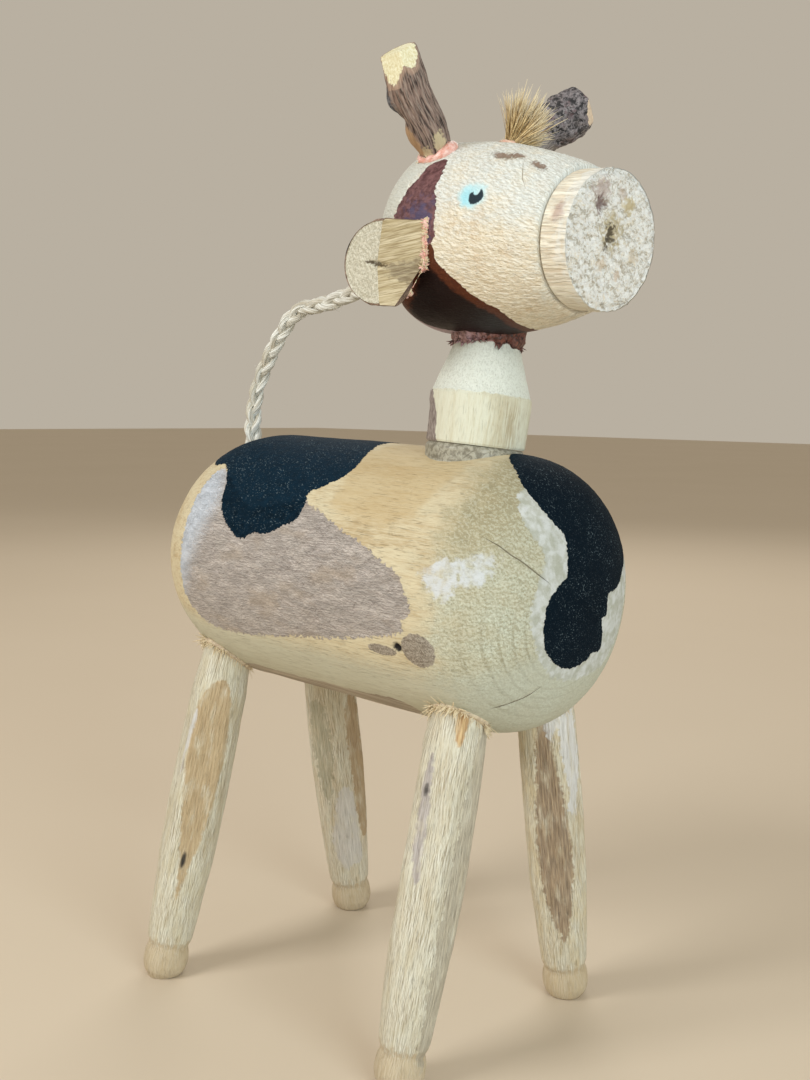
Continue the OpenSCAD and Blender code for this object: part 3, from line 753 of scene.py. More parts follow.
def twig_bark():
    s = Shader("twig_bark")
    across = s.paint("skin", True)
    fine = s.streak(across, (0.14, 1, 1), 0.6, 5.0, 0.3)
    wide = s.streak(across, (0.3, 1, 1), 2.6, 4.0)
    colour = s.mix(s.band(fine, 0.36, 0.60), (0.030, 0.021, 0.019), (0.25, 0.175, 0.145))
    colour = s.mix(s.band(wide, 0.50, 0.7, 0.0, 0.45), colour, (0.24, 0.185, 0.16))
    groove = s.band(s.streak(across, (0.07, 1, 1), 0.5, 3.0), 0.55, 0.70, 0.0, 0.75)
    colour = s.mix(groove, colour, (0.060, 0.043, 0.037))
    # painted highlight on the lit side of fine ridges in the bark
    lit_ridges = s.lit(s.times(across, (0.13, 1, 1)), 0.7, (0, -0.3, 0), 4.0, 0.4)
    colour = s.mix(s.band(lit_ridges, 0.5, 1.0, 0.0, 0.5), colour, (0.42, 0.34, 0.29))
    tan = s.patch("tan", 0.5, 1.3, 0.5)
    colour = s.mix(s.mul(tan, 0.8), colour, (0.45, 0.29, 0.16))
    slate = s.patch("slate", 0.5, 1.0, 0.5)
    stone = s.mix(s.band(s.noise(across, 0.9, 4.0), 0.35, 0.6), (0.035, 0.04, 0.05),
                  (0.16, 0.17, 0.19))
    colour = s.mix(s.mul(slate, 0.9), colour, stone)
    pared = s.patch("pared", 0.2, 0.8, 0.1)
    fresh = s.mix(s.band(s.noise(across, 0.6, 4.0), 0.35, 0.65), (0.66, 0.60, 0.36),
                  (0.82, 0.80, 0.60))
    colour = s.mix(pared, colour, fresh)
    for centre, radii in (((2.8, 2.0, 0), (2.7, 1.6, 9)), ((1.2, -2.2, 0), (1.9, 1.5, 9))):
        chip = s.spot(across, centre, radii, 0.25, 0.4, 1.0)
        colour = s.mix(s.mul(chip, 0.85), colour, (0.56, 0.48, 0.31))
    edge = s.band(s.paint("pared"), -0.9, -0.2)
    edge = s.mul(edge, s.math("SUBTRACT", 1.0, pared))
    colour = s.mix(s.mul(edge, 0.5), colour, (0.55, 0.38, 0.28))
    relief = s.sum(fine, s.mul(wide, 0.6), s.mul(groove, -0.6))
    relief = s.mul(relief, s.band(pared, 0, 1, 1.0, 0.3))
    return s.done(colour, 0.75, relief, 0.22, 0.3)


def charred_bark():
    s = Shader("charred_bark")
    grain, across = s.grain(), s.paint("skin", True)
    fine = s.streak(across, (0.1, 1, 1), 0.4, 4.0, 0.3)
    colour = s.mix(s.band(fine, 0.35, 0.64), (0.10, 0.085, 0.078), (0.33, 0.295, 0.275))
    lump = s.noise(grain, 1.5, 5.0, 0.8)
    coal = s.mix(s.band(lump, 0.40, 0.66), (0.020, 0.019, 0.021), (0.20, 0.18, 0.19))
    # painted highlight on the upper, lit sides of the charred lumps
    lit_crust = s.lit(grain, 1.2, (0, 0.1, 0.35), 5.0, 0.8)
    coal = s.mix(s.band(lit_crust, 0.5, 1.0, 0.0, 0.55), coal, (0.34, 0.31, 0.32))
    rust = s.band(s.noise(grain, 3.0, 3.0), 0.52, 0.66, 0.0, 0.6)
    coal = s.mix(rust, coal, (0.12, 0.050, 0.055))
    burnt = s.patch("burnt", 1.0, 2.0, 0.5)
    colour = s.mix(burnt, colour, coal)
    oval = s.spot(across, (9.5, -4.6, 0), (1.9, 1.0, 9), 0.4, 0.4, 0.8)
    colour = s.mix(s.mul(oval, 0.85), colour, (0.025, 0.02, 0.02))
    pared = s.patch("pared", 0.35, 1.0, 0.15)
    colour = s.mix(pared, colour, s.mix(s.noise(grain, 0.7, 4.0), (0.60, 0.42, 0.28),
                                        (0.86, 0.76, 0.60)))
    relief = s.sum(fine, s.mul(lump, s.band(burnt, 0, 1, 0.3, 1.6)))
    return s.done(colour, s.band(lump, 0.3, 0.7, 0.75, 0.45), relief, 0.25, 0.4)


def ear_wood():
    s = Shader("ear_wood")
    grain, along = s.grain(), s.paint("skin", True)
    slant = s.turned(along, 14)
    streak = s.streak(slant, (0.05, 1, 1), 1.1, 5.0, 0.3)
    fine = s.streak(slant, (0.06, 1, 1), 0.33, 4.0)
    colour = s.mix(s.band(streak, 0.35, 0.68), (0.64, 0.56, 0.39), (0.44, 0.36, 0.21))
    colour = s.mix(s.band(fine, 0.42, 0.66, 0.0, 0.8), colour, (0.27, 0.20, 0.10))
    torn = s.patch("torn", 0.9, 1.4, 0.9)
    shreds = s.band(s.streak(s.turned(along, 12), (0.12, 1, 1), 0.6, 5.0), 0.36, 0.64)
    rag = s.mix(shreds, (0.16, 0.115, 0.065), (0.44, 0.37, 0.25))
    colour = s.mix(s.mul(torn, 0.75), colour, rag)
    end = s.paint("end")
    ring = s.band(s.rings(s.plus(grain, (0, -3.5, 0)), 1.5, 0.8), 0.3, 0.9)
    stipple = s.noise(grain, 0.4, 4.0, 0.3)
    cut = s.mix(s.band(stipple, 0.35, 0.62), (0.46, 0.45, 0.36), (0.68, 0.68, 0.58))
    # painted light and shade on the crumbs of the cut end: pale highlight on one side, dark painted
    # shadow on the other
    lit_crumbs = s.lit(grain, 1.0, (-0.2, 0, 0.3))
    cut = s.mix(s.band(lit_crumbs, 0.5, 1.0, 0.0, 0.4), cut, (0.86, 0.85, 0.76))
    cut = s.mix(s.band(lit_crumbs, 0.0, 0.5, 0.35, 0.0), cut, (0.34, 0.31, 0.22))
    cut = s.mix(s.mul(ring, 0.16), cut, (0.46, 0.41, 0.29))
    colour = s.mix(s.band(end, 0.4, 0.6), colour, cut)
    bark = s.paint("bark")
    rough = s.streak(grain, (0.3, 1, 1), 0.8, 5.0, 0.4)
    skin_tone = s.mix(s.band(rough, 0.35, 0.65), (0.13, 0.085, 0.065), (0.36, 0.26, 0.20))
    colour = s.mix(s.band(bark, 0.4, 0.6), colour, skin_tone)
    pith = s.patch("pith", 0.35, 0.9, 0.25)
    colour = s.mix(s.mul(pith, 0.9), colour, (0.07, 0.045, 0.02))
    black = s.patch("black", 0.3, 0.8, 0.1)
    colour = s.mix(black, colour, BLUE_BLACK)
    relief = s.sum(s.mul(fine, 1.0), s.mul(streak, 0.8),
                   s.mul(shreds, torn),
                   s.mul(s.mul(rough, bark), 1.5))
    return s.done(colour, 0.8, relief, 0.2, 0.25)


def glue(name, main, other, gloss, coat=0.0, size=1.2, depth=0.25):
    """Dried glue with fibres and dirt in it."""
    s = Shader(name)
    grain = s.grain()
    cloud = s.noise(grain, size, 4.0, 0.6)
    colour = s.mix(s.band(cloud, 0.36, 0.64), main, other)
    chip = s.band(s.paint("chip"), 0.3, 0.7)
    wooden = s.mix(s.noise(grain, 0.5, 3.0), (0.84, 0.76, 0.56), (0.66, 0.52, 0.32))
    colour = s.mix(chip, colour, wooden)
    relief = s.sum(cloud, s.mul(s.noise(grain, 0.3, 3.0), 0.5))
    return s.done(colour, s.band(chip, 0, 1, gloss, 0.8), relief, depth, 0.45, coat)


def sisal():
    s = Shader("sisal")
    shade = s.streak(s.grain(), (0.4, 1, 1), 0.7, 3.0)
    colour = s.mix(s.band(shade, 0.35, 0.65), (0.38, 0.25, 0.10), (0.76, 0.58, 0.30))
    tip = s.band(s.paint("tip"), 0.55, 1.0, 0.0, 0.6)
    colour = s.mix(tip, colour, (0.80, 0.74, 0.56))
    return s.done(colour, 0.6, shade, 0.03, 0.4, 0.0, 0.2)


def rope_fibre():
    s = Shader("rope_fibre")
    along = s.paint("skin", True)
    fine = s.streak(along, (0.06, 1, 1), 0.32, 4.0, 0.2)
    wide = s.streak(along, (0.2, 1, 1), 2.0, 3.0)
    colour = s.mix(s.band(fine, 0.34, 0.62), (0.46, 0.45, 0.39), (0.90, 0.93, 0.90))
    colour = s.mix(s.band(wide, 0.40, 0.62, 0.0, 0.55), colour, (0.42, 0.36, 0.24))
    return s.done(colour, 0.55, fine, 0.12, 0.4, 0.0, 0.15)


def dowel_wood():
    s = Shader("dowel_wood")
    place = s.add("ShaderNodeTexCoord", {}).outputs["Object"]
    place = s.times(place, (1000, 1000, 1000))
    streak = s.streak(place, (1, 1, 0.06), 0.7, 4.0)
    colour = s.mix(s.band(streak, 0.3, 0.7), (0.55, 0.38, 0.20), (0.34, 0.21, 0.10))
    return s.done(colour, 0.7, streak, 0.1)


# ------------------------------------------------------------------ turned pieces

def body_radius(x):
    chest = np.clip((x - BODY_HALF + CHEST_CAP) / CHEST_CAP, 0, 1)
    rump = np.clip((-x - BODY_HALF + RUMP_CAP) / RUMP_CAP, 0, 1)
    return BODY_R * np.minimum((1 - chest ** CHEST_ROUND) ** (1 / CHEST_ROUND),
                               (1 - rump ** RUMP_ROUND) ** (1 / RUMP_ROUND))


def head_radius(x):
    back = np.clip(-x / HEAD_BACK, 0, 1)
    front = np.clip(x / HEAD_FRONT, 0, 1)
    return np.where(x < 0, HEAD_R * (1 - back ** SKULL_ROUND) ** (1 / SKULL_ROUND),
                    HEAD_R - (HEAD_R - HEAD_NOSE_R) * front ** 2.2)


def off_body(points):
    """How far points lie outside the body, roughly; negative inside it."""
    p = BODY.back(points)
    return np.hypot(p[..., 1], p[..., 2]) - body_radius(p[..., 0])


def off_head(points):
    p = HEAD.back(points)
    return np.hypot(p[..., 1], p[..., 2]) - head_radius(p[..., 0])


class Lathe:
    """A turned skin round the X axis: its points, outward directions and unrolled places.
    Angles go from the top over the animal's right side."""

    def __init__(self, x, r, count, sides):
        arc = np.concatenate([[0], np.cumsum(np.hypot(np.diff(x), np.diff(r)))])
        even = np.linspace(0.15, arc[-1] - 0.15, count)
        self.x, self.r, self.arc = np.interp(even, arc, x), np.interp(even, arc, r), even
        self.length = arc[-1]
        turn = np.arange(sides) * 2 * np.pi / sides
        self.turn = np.broadcast_to(turn, (count, sides))
        self.degrees = np.degrees((self.turn + np.pi) % (2 * np.pi) - np.pi)
        wide = lambda v: np.broadcast_to(np.asarray(v)[:, None], (count, sides))
        self.wx, self.wr, self.warc = wide(self.x), wide(self.r), wide(self.arc)
        dx, dr = wide(np.gradient(self.x, even)), wide(np.gradient(self.r, even))
        sin, cos = np.sin(self.turn), np.cos(self.turn)
        self.points = np.stack([self.wx, -self.wr * sin, self.wr * cos], -1)
        self.normals = unit(np.stack([-dr, -dx * sin, dx * cos], -1))

    def unrolled(self, mm_per_degree):
        return np.stack([self.wx, self.degrees * mm_per_degree], -1)


def outline(points, mm_per_degree=1.0):
    return rounded([(x, a * mm_per_degree) for x, a in points])


def deep(shape, area):
    """How deep a grid of flat places lies in an outline."""
    return depth_in(area, shape.reshape(-1, 2)).reshape(shape.shape[:2])


def crack_place(flat, start, end, seed):
    """Places along (0 to 1) and across (mm) a crack that wanders a little."""
    start, end = np.array(start), np.array(end)
    way = end - start
    rel = flat - start
    t = (rel @ way) / (way @ way)
    across = (rel @ np.array([-way[1], way[0]])) / np.linalg.norm(way)
    bend = noise(np.stack([t * 3, t * 0, t * 0], -1), 1.0, seed, 2) * 0.5
    return np.stack([t, across + bend, t * 0], -1)


# Paint and bare patches on the body: place along it, degrees from the top to its right
BLACK_RUMP = [(-46.5, 38), (-40.5, 39), (-34.7, 49), (-32, 60), (-28, 68), (-23.5, 73),
              (-19.8, 75), (-16, 72), (-10.5, 71), (-6.5, 67), (-2.8, 64), (-1.2, 57),
              (-2.2, 50), (1.5, 45.5), (5.6, 39), (6.6, 32), (5.5, 24), (2.8, 8), (3, -6),
              (4, -28), (-3, -52), (-14, -61), (-26, -57), (-38, -66), (-50, -52), (-57, -22),
              (-58, 4), (-53, 24)]
RAW = [(-3, 54), (0, 55.5), (7.6, 60), (14.7, 65), (22, 69), (29.6, 74.5), (36, 79.5),
       (37.5, 84), (40.1, 89), (39.5, 94), (37.3, 96), (37.5, 100), (33.8, 103), (17, 109),
       (-15, 118), (-28.9, 120), (-38.2, 116), (-43.5, 107), (-45, 90), (-44.5, 72),
       (-44, 55), (-41, 42), (-35, 46), (-20, 60)]
RAW_LEFT = [(-30, -70), (-12, -66), (8, -72), (16, -88), (12, -104), (-6, -112), (-26, -106),
            (-38, -92)]
LILAC = [(-48, 40), (-40, 40), (-35, 48), (-33, 62), (-37, 80), (-41, 98), (-47, 104)]
SMEAR = [(41.8, 77), (44, 73), (47, 69), (49.5, 70.5), (52, 68), (54.7, 64), (58, 63),
         (58, 69), (56, 77), (53, 78), (51.5, 74), (50.6, 84), (47, 85), (44.5, 81)]
TAN_TOP = [(5, 8), (20, 2), (34, 10), (38, 45), (26, 58), (8, 52)]
BELLY_STRIP = [(-32, 146), (-10, 144.5), (14, 142), (28, 140), (31, 150), (24, 166),
               (-28, 170)]
# Patches on the chest: mm to the animal's right and up from the chest's pole
BLACK_CHEST = [(7, 46), (11.5, 41), (15, 33), (14.5, 27), (12.5, 22), (9.6, 18), (9.8, 14.4),
               (10.6, 9), (13.5, 6.5), (16.6, 3), (17.6, -2), (16.4, -8), (12, -12.6),
               (6, -14.2), (0.5, -12.9), (-1.2, -11.4), (-5.4, -11.2), (-5.2, -7),
               (-3.9, -3.1), (-6.2, -2.2), (-6.6, 2.6), (-12, 3.6), (-16.5, 7), (-25, 13),
               (-33, 22), (-33, 34), (-22, 42), (-14, 50), (-2, 50)]
PRIMER = [(18, 30), (20, 22), (17, 14), (19.5, 7.5), (21.3, 1), (20, -6), (15.5, -12.8),
          (9, -17), (-3, -17.5), (-12, -15), (-18, -7), (-21, 4), (-26, 8), (-10, 20), (8, 34)]
CRACK_HIGH = ((30, 19.6), (16.8, 7.4))
CRACK_LOW = ((24, -27), (14.8, -18.6))


def body():
    x = BODY_HALF * np.sin(np.linspace(-np.pi / 2, np.pi / 2, 6001))
    skin_of = Lathe(x, body_radius(x), 330, 300)
    p, degree = skin_of.points, math.radians(BODY_R)
    flat = skin_of.unrolled(degree)
    left = skin_of.length - skin_of.warc
    front = np.stack([left * np.sin(skin_of.turn), left * np.cos(skin_of.turn)], -1)
    black_rump = deep(flat, outline(BLACK_RUMP, degree))
    black_chest = deep(front, rounded(BLACK_CHEST))
    raw = np.maximum(deep(flat, outline(RAW, degree)), deep(flat, outline(RAW_LEFT, degree)))
    knot_at = np.array([41.8, 107 * degree])
    oval = 1 - np.linalg.norm((flat - knot_at) / [4.9, 4.3], axis=-1)
    leaf = 1 - np.linalg.norm((flat - [30.3, 110 * degree]) / [4.6, 1.4], axis=-1)
    hole = 1 - np.linalg.norm((flat - [35.6, 107.2 * degree]) / [1.3, 1.2], axis=-1)
    high = crack_place(front, *CRACK_HIGH, 3)
    low = crack_place(front, *CRACK_LOW, 4)
    cracks = sum(np.exp(-(c[..., 1] / 0.35) ** 2) * smooth(c[..., 0], -0.05, 0.1)
                 * smooth(c[..., 0], 1.05, 0.9) for c in (high, low))
    ends = smooth(skin_of.wx, 38, 52) + smooth(skin_of.wx, -30, -50)
    push = (0.30 * noise(p, 26, 1, 2) + 0.10 * noise(p, 7, 2, 2)
            + 0.03 * ends * np.sin(skin_of.warc * 5.2)
            + 0.05 * ends * noise(p, (0.9, 0.9, 0.9), 5, 2)
            + 0.05 * noise(p, (8, 0.9, 0.9), 6, 2)
            + 0.10 * smooth(np.maximum(black_rump, black_chest), -0.3, 0.4)
            - smooth(raw, -0.2, 0.5) * (0.12 + 0.08 * noise(p, 1.0, 8, 3))
            + 0.22 * smooth(oval, -0.1, 0.35) - 1.0 * smooth(hole, 0, 0.8) - 0.2 * cracks)
    shape = skin(BODY.out(p + skin_of.normals * push[..., None]))
    grain = p + [0, 7.7, 2.1]
    shape.with_paint(
        grain=over(grain), skin=over(np.concatenate([flat, flat[..., :1] * 0], -1)),
        chest=over(smooth(skin_of.wx, 34, 56)), black_rump=over(black_rump),
        low=over(smooth(np.abs(skin_of.degrees), 100, 135)), black_chest=over(black_chest),
        raw=over(raw), lilac=over(deep(flat, outline(LILAC, degree))),
        smear=over(deep(flat, outline(SMEAR, degree))),
        tan_top=over(deep(flat, outline(TAN_TOP, degree))),
        belly_strip=over(deep(flat, outline(BELLY_STRIP, degree))),
        primer=over(deep(front, rounded(PRIMER))), knot=over(np.maximum(oval, leaf * 0.5) * 4),
        knot_hole=over(hole), crack_high=over(high), crack_low=over(low))
    return make("painted_body", shape, body_wood(), "body")


# Patches on the head: mm from its widest place to the nose, degrees from the top
MAROON = [(8, 43), (10.4, 56), (10.6, 66), (12.3, 74), (13.2, 87), (12.8, 96), (6, 104),
          (-3, 100), (-1.2, 88), (-0.4, 80), (0.8, 72), (1.8, 65), (3.6, 57), (4.3, 48)]
MAROON_LEFT = [(6, -44), (9, -58), (12, -72), (11, -90), (4, -100), (-6, -96), (-8, -78),
               (-3, -62), (0, -48)]
CHOCOLATE = [(12.2, 98), (13.7, 108), (16.8, 116.5), (20.7, 129), (24.3, 140), (26, 147),
             (26.6, 160), (26.4, 177), (24, 194), (17, 210), (6, 214), (-5, 206), (-9, 184),
             (-8.5, 160), (-6.5, 145), (-3, 134), (2, 122), (7, 106)]
LILAC_HEAD = [(-12, 120), (-9, 134), (-5, 146), (-1, 158), (6, 166), (10, 176), (4, 182), (-4, 172),
              (-9, 156), (-13, 140)]
WHITE_BAND = [(7, 38), (3.8, 48), (1, 66), (-1, 84), (-4, 104), (-12, 100), (-14, 60),
              (-9, 36), (0, 30)]


def head():
    t = np.linspace(0, 1, 3001)
    x = np.concatenate([-HEAD_BACK * np.cos(t[:-1] * np.pi / 2), HEAD_FRONT * t])
    turned = Lathe(x, head_radius(x), 215, 380)
    p, degree = turned.points, math.radians(HEAD_R)
    flat = turned.unrolled(degree)
    under = np.stack([turned.wx, np.degrees(turned.turn) * degree], -1)
    maroon = np.maximum(deep(flat, outline(MAROON, degree)),
                        deep(flat, outline(MAROON_LEFT, degree)))
    chocolate = deep(under, outline(CHOCOLATE, degree))
    painted = smooth(np.maximum(maroon, chocolate), -0.4, 0.4)
    unrolled = np.stack([turned.wx, turned.degrees * degree, turned.wx * 0], -1)
    ridge = noise(unrolled + 1.2 * noise(p, 5, 9, 2)[..., None], (1.5, 0.62, 1), 11, 2)
    front = smooth(turned.wx, 4, 16) * (1 - painted)
    crack = crack_place(flat, (29.6, 15.4), (33.6, 23), 12)
    groove = (np.exp(-(crack[..., 1] / 0.4) ** 2) * smooth(crack[..., 0], -0.05, 0.1)
              * smooth(crack[..., 0], 1.05, 0.9))
    pits = sum(near_line(a, b, flat, 0.6) for a, b in
               (((21, 14.5), (26, 13.2)), ((32.4, 14.8), (34.6, 14.2))))
    push = (0.22 * noise(p, 14, 13, 2) + 0.06 * noise(p, 3, 14, 2)
            + front * (0.20 * ridge + 0.05 * noise(p, 0.7, 15, 2)) + 0.06 * painted
            - 0.2 * groove - 0.45 * pits - 0.35 * smooth(turned.wx, 38.7, 39.5))
    shape = skin(HEAD.out(p + turned.normals * push[..., None]))
    wash = smooth(turned.degrees * np.sign(turned.degrees), 105, 60)
    wash = np.clip(wash * 0.75 + 0.25 * smooth(turned.wx, 30, 38), 0, 1)
    shape.with_paint(
        grain=over(p), skin=over(unrolled), ridge=over(ridge), maroon=over(maroon),
        chocolate=over(chocolate), wash=over(wash), crack=over(crack),
        lilac=over(deep(under, outline(LILAC_HEAD, degree))),
        white_band=over(deep(flat, outline(WHITE_BAND, degree))))
    return make("painted_head", shape, head_wood(), "head")


def snout():
    """A disc sawn off a branch: turned side, and a face of rough end grain."""
    sides = 300
    face = np.linspace(0, 1, 66)[1:]
    x = np.concatenate([np.linspace(HEAD_FRONT + 0.05, SNOUT_END - 0.35, 40),
                        np.full(65, SNOUT_END)])
    r = np.concatenate([np.full(40, SNOUT_R), SNOUT_R * (1 - face * 0.985)])
    r[0] -= 0.5
    turn = np.arange(sides) * 2 * np.pi / sides
    p = np.stack([np.broadcast_to(x[:, None], (105, sides)), -np.outer(r, np.sin(turn)),
                  np.outer(r, np.cos(turn))], -1)
    on_face = np.concatenate([np.zeros(39), [0.5], np.ones(65)])[:, None]
    rim = smooth(r, SNOUT_R - 2.0, SNOUT_R)[:, None] * on_face
    out = unit(p * [0, 1, 1])
    tears = noise(p, (4.0, 0.7, 0.7), 21, 3)
    crag = noise(p, 2.2, 22, 3) + 0.5 * noise(p, 1.1, 23, 2)
    side_push = (0.30 * tears * smooth(x, 41, 46)[:, None] + 0.10 * noise(p, 6, 24, 2)
                 - 0.35 * rim * (1 + noise(p, 1.3, 25, 3)))
    pith = np.hypot((p[..., 1] + 1.2) / 1.3, (p[..., 2] - 0.8) / 2.4)
    nostril = np.hypot((p[..., 1] + 5.2) / 2.0, (p[..., 2] - 7.6) / 2.4)
    face_push = on_face * (0.75 * crag - 0.8 * rim - 0.9 * smooth(pith, 1.1, 0.3)
                           - 0.6 * smooth(nostril, 1.1, 0.4) - 0.25)
    moved = p + out * side_push[..., None] + np.stack([face_push, face_push * 0,
                                                       face_push * 0], -1)
    shape = skin(HEAD.out(moved))
    chalk = smooth(x, 41.0, 46.5)[:, None] * (0.75 + 0.35 * np.cos(turn))
    shape.with_paint(grain=over(p), face=over(on_face + turn * 0), rim=over(chalk))
    return make("sawn_snout", shape, snout_wood(), "snout")


# ------------------------------------------------------------------ pieces that stand up

class Post:
    """A round piece along its own Z: heights x sides, radii that may differ all round, and
    angles from -180 to 180 degrees, 0 on the animal's front right and + to its front."""

    def __init__(self, place, heights, radius, sides):
        self.place, self.h = place, np.asarray(heights, float)
        turn = (np.arange(sides) + 0.5) * 2 * np.pi / sides - np.pi
        self.side = np.broadcast_to(turn, (len(self.h), sides))
        self.high = np.broadcast_to(self.h[:, None], self.side.shape)
        self.r = np.broadcast_to(radius(self.high, self.side), self.side.shape)
        self.out = np.stack([np.sin(turn), -np.cos(turn), turn * 0], -1)
        self.p = self.r[..., None] * self.out + self.high[..., None] * [0, 0, 1]

    def unrolled(self, r):
        return np.stack([self.high, self.side * r], -1)


def bent(post, push):
    """The post's points in the CAD frame, pushed outwards."""
    local = post.p + push[..., None] * post.out
    return post.place.out(local)


def facets(cuts, soft=6.0):
    """Radius left by flat cuts: degrees round the piece, distance of the flat from the axis
    at a low and at a high place, and those two heights, near which the cut fades."""
    def limit(high, side):
        left = np.full(np.shape(side), 99.0)
        for degrees, low_r, high_r, low, top in cuts:
            away = np.cos(side - math.radians(degrees))
            flat = low_r + (high_r - low_r) * np.clip((high - low) / (top - low), 0, 1)
            fade = 3.0 * (smooth(high, low + soft, low - soft / 3)
                          + smooth(high, top - soft, top + soft / 3))
            left = np.minimum(left, np.where(away > 0.15, (flat + fade) / np.maximum(away, 0.15),
                                             99))
        return left
    return limit


def contact(at, off, outside, inside, sides):
    """Where a piece's walls meet its host: at(heights) gives points, off their clearance."""
    outside, inside = np.full(sides, float(outside)), np.full(sides, float(inside))
    for _ in range(26):
        middle = (outside + inside) / 2
        within = off(at(middle)) < 0
        inside = np.where(within, middle, inside)
        outside = np.where(within, outside, middle)
    return (outside + inside) / 2


def bead(curve, out, away, size, seed, sides=14, lump=0.35):
    """A lumpy bead of glue along a closed curve."""
    turn = np.arange(sides) * 2 * np.pi / sides
    ring = (np.cos(turn)[:, None] * out[:, None] + np.sin(turn)[:, None] * away)
    points = curve[:, None] + size[:, None, None] * ring
    points = points + ring * (lump * noise(points, 1.3, seed, 3))[..., None]
    n = len(curve)
    i, k = np.meshgrid(np.arange(n), np.arange(sides), indexing="ij")
    j, m = (i + 1) % n, (k + 1) % sides
    quads = np.stack([i * sides + k, i * sides + m, j * sides + m, j * sides + k], -1)
    flat = points.reshape(-1, 3)
    return Shape(flat, quads, np.zeros((0, 3), int), {"grain": flat, "chip": flat[:, 0] * 0})


def splinters(curve, out, away, count, length, thick, seed, spread=0.7, window=None):
    """Short wood fibres torn up along a curve."""
    rng = np.random.default_rng(seed)
    places = np.arange(len(curve)) if window is None else np.flatnonzero(window)
    pick = rng.choice(places, count)
    n = count
    way = out[pick] * rng.uniform(0.1, 0.8, (n, 1)) + away * rng.uniform(-0.3, 1.1, (n, 1))
    way = way + rng.normal(0, spread * 0.5, (n, 3))
    size = rng.uniform(0.45, 1.0, n) * length
    paths = wander(curve[pick] - 0.2 * out[pick], way, size, 5, 0.13, seed + 1)
    radii = thick * rng.uniform(0.5, 1.2, (n, 1)) * np.array([1.1, 1.0, 0.85, 0.55, 0.12])
    torn = strands(paths, radii, 4, 0.5)
    return torn.with_paint(grain=torn.points, chip=np.ones(len(torn.points)))


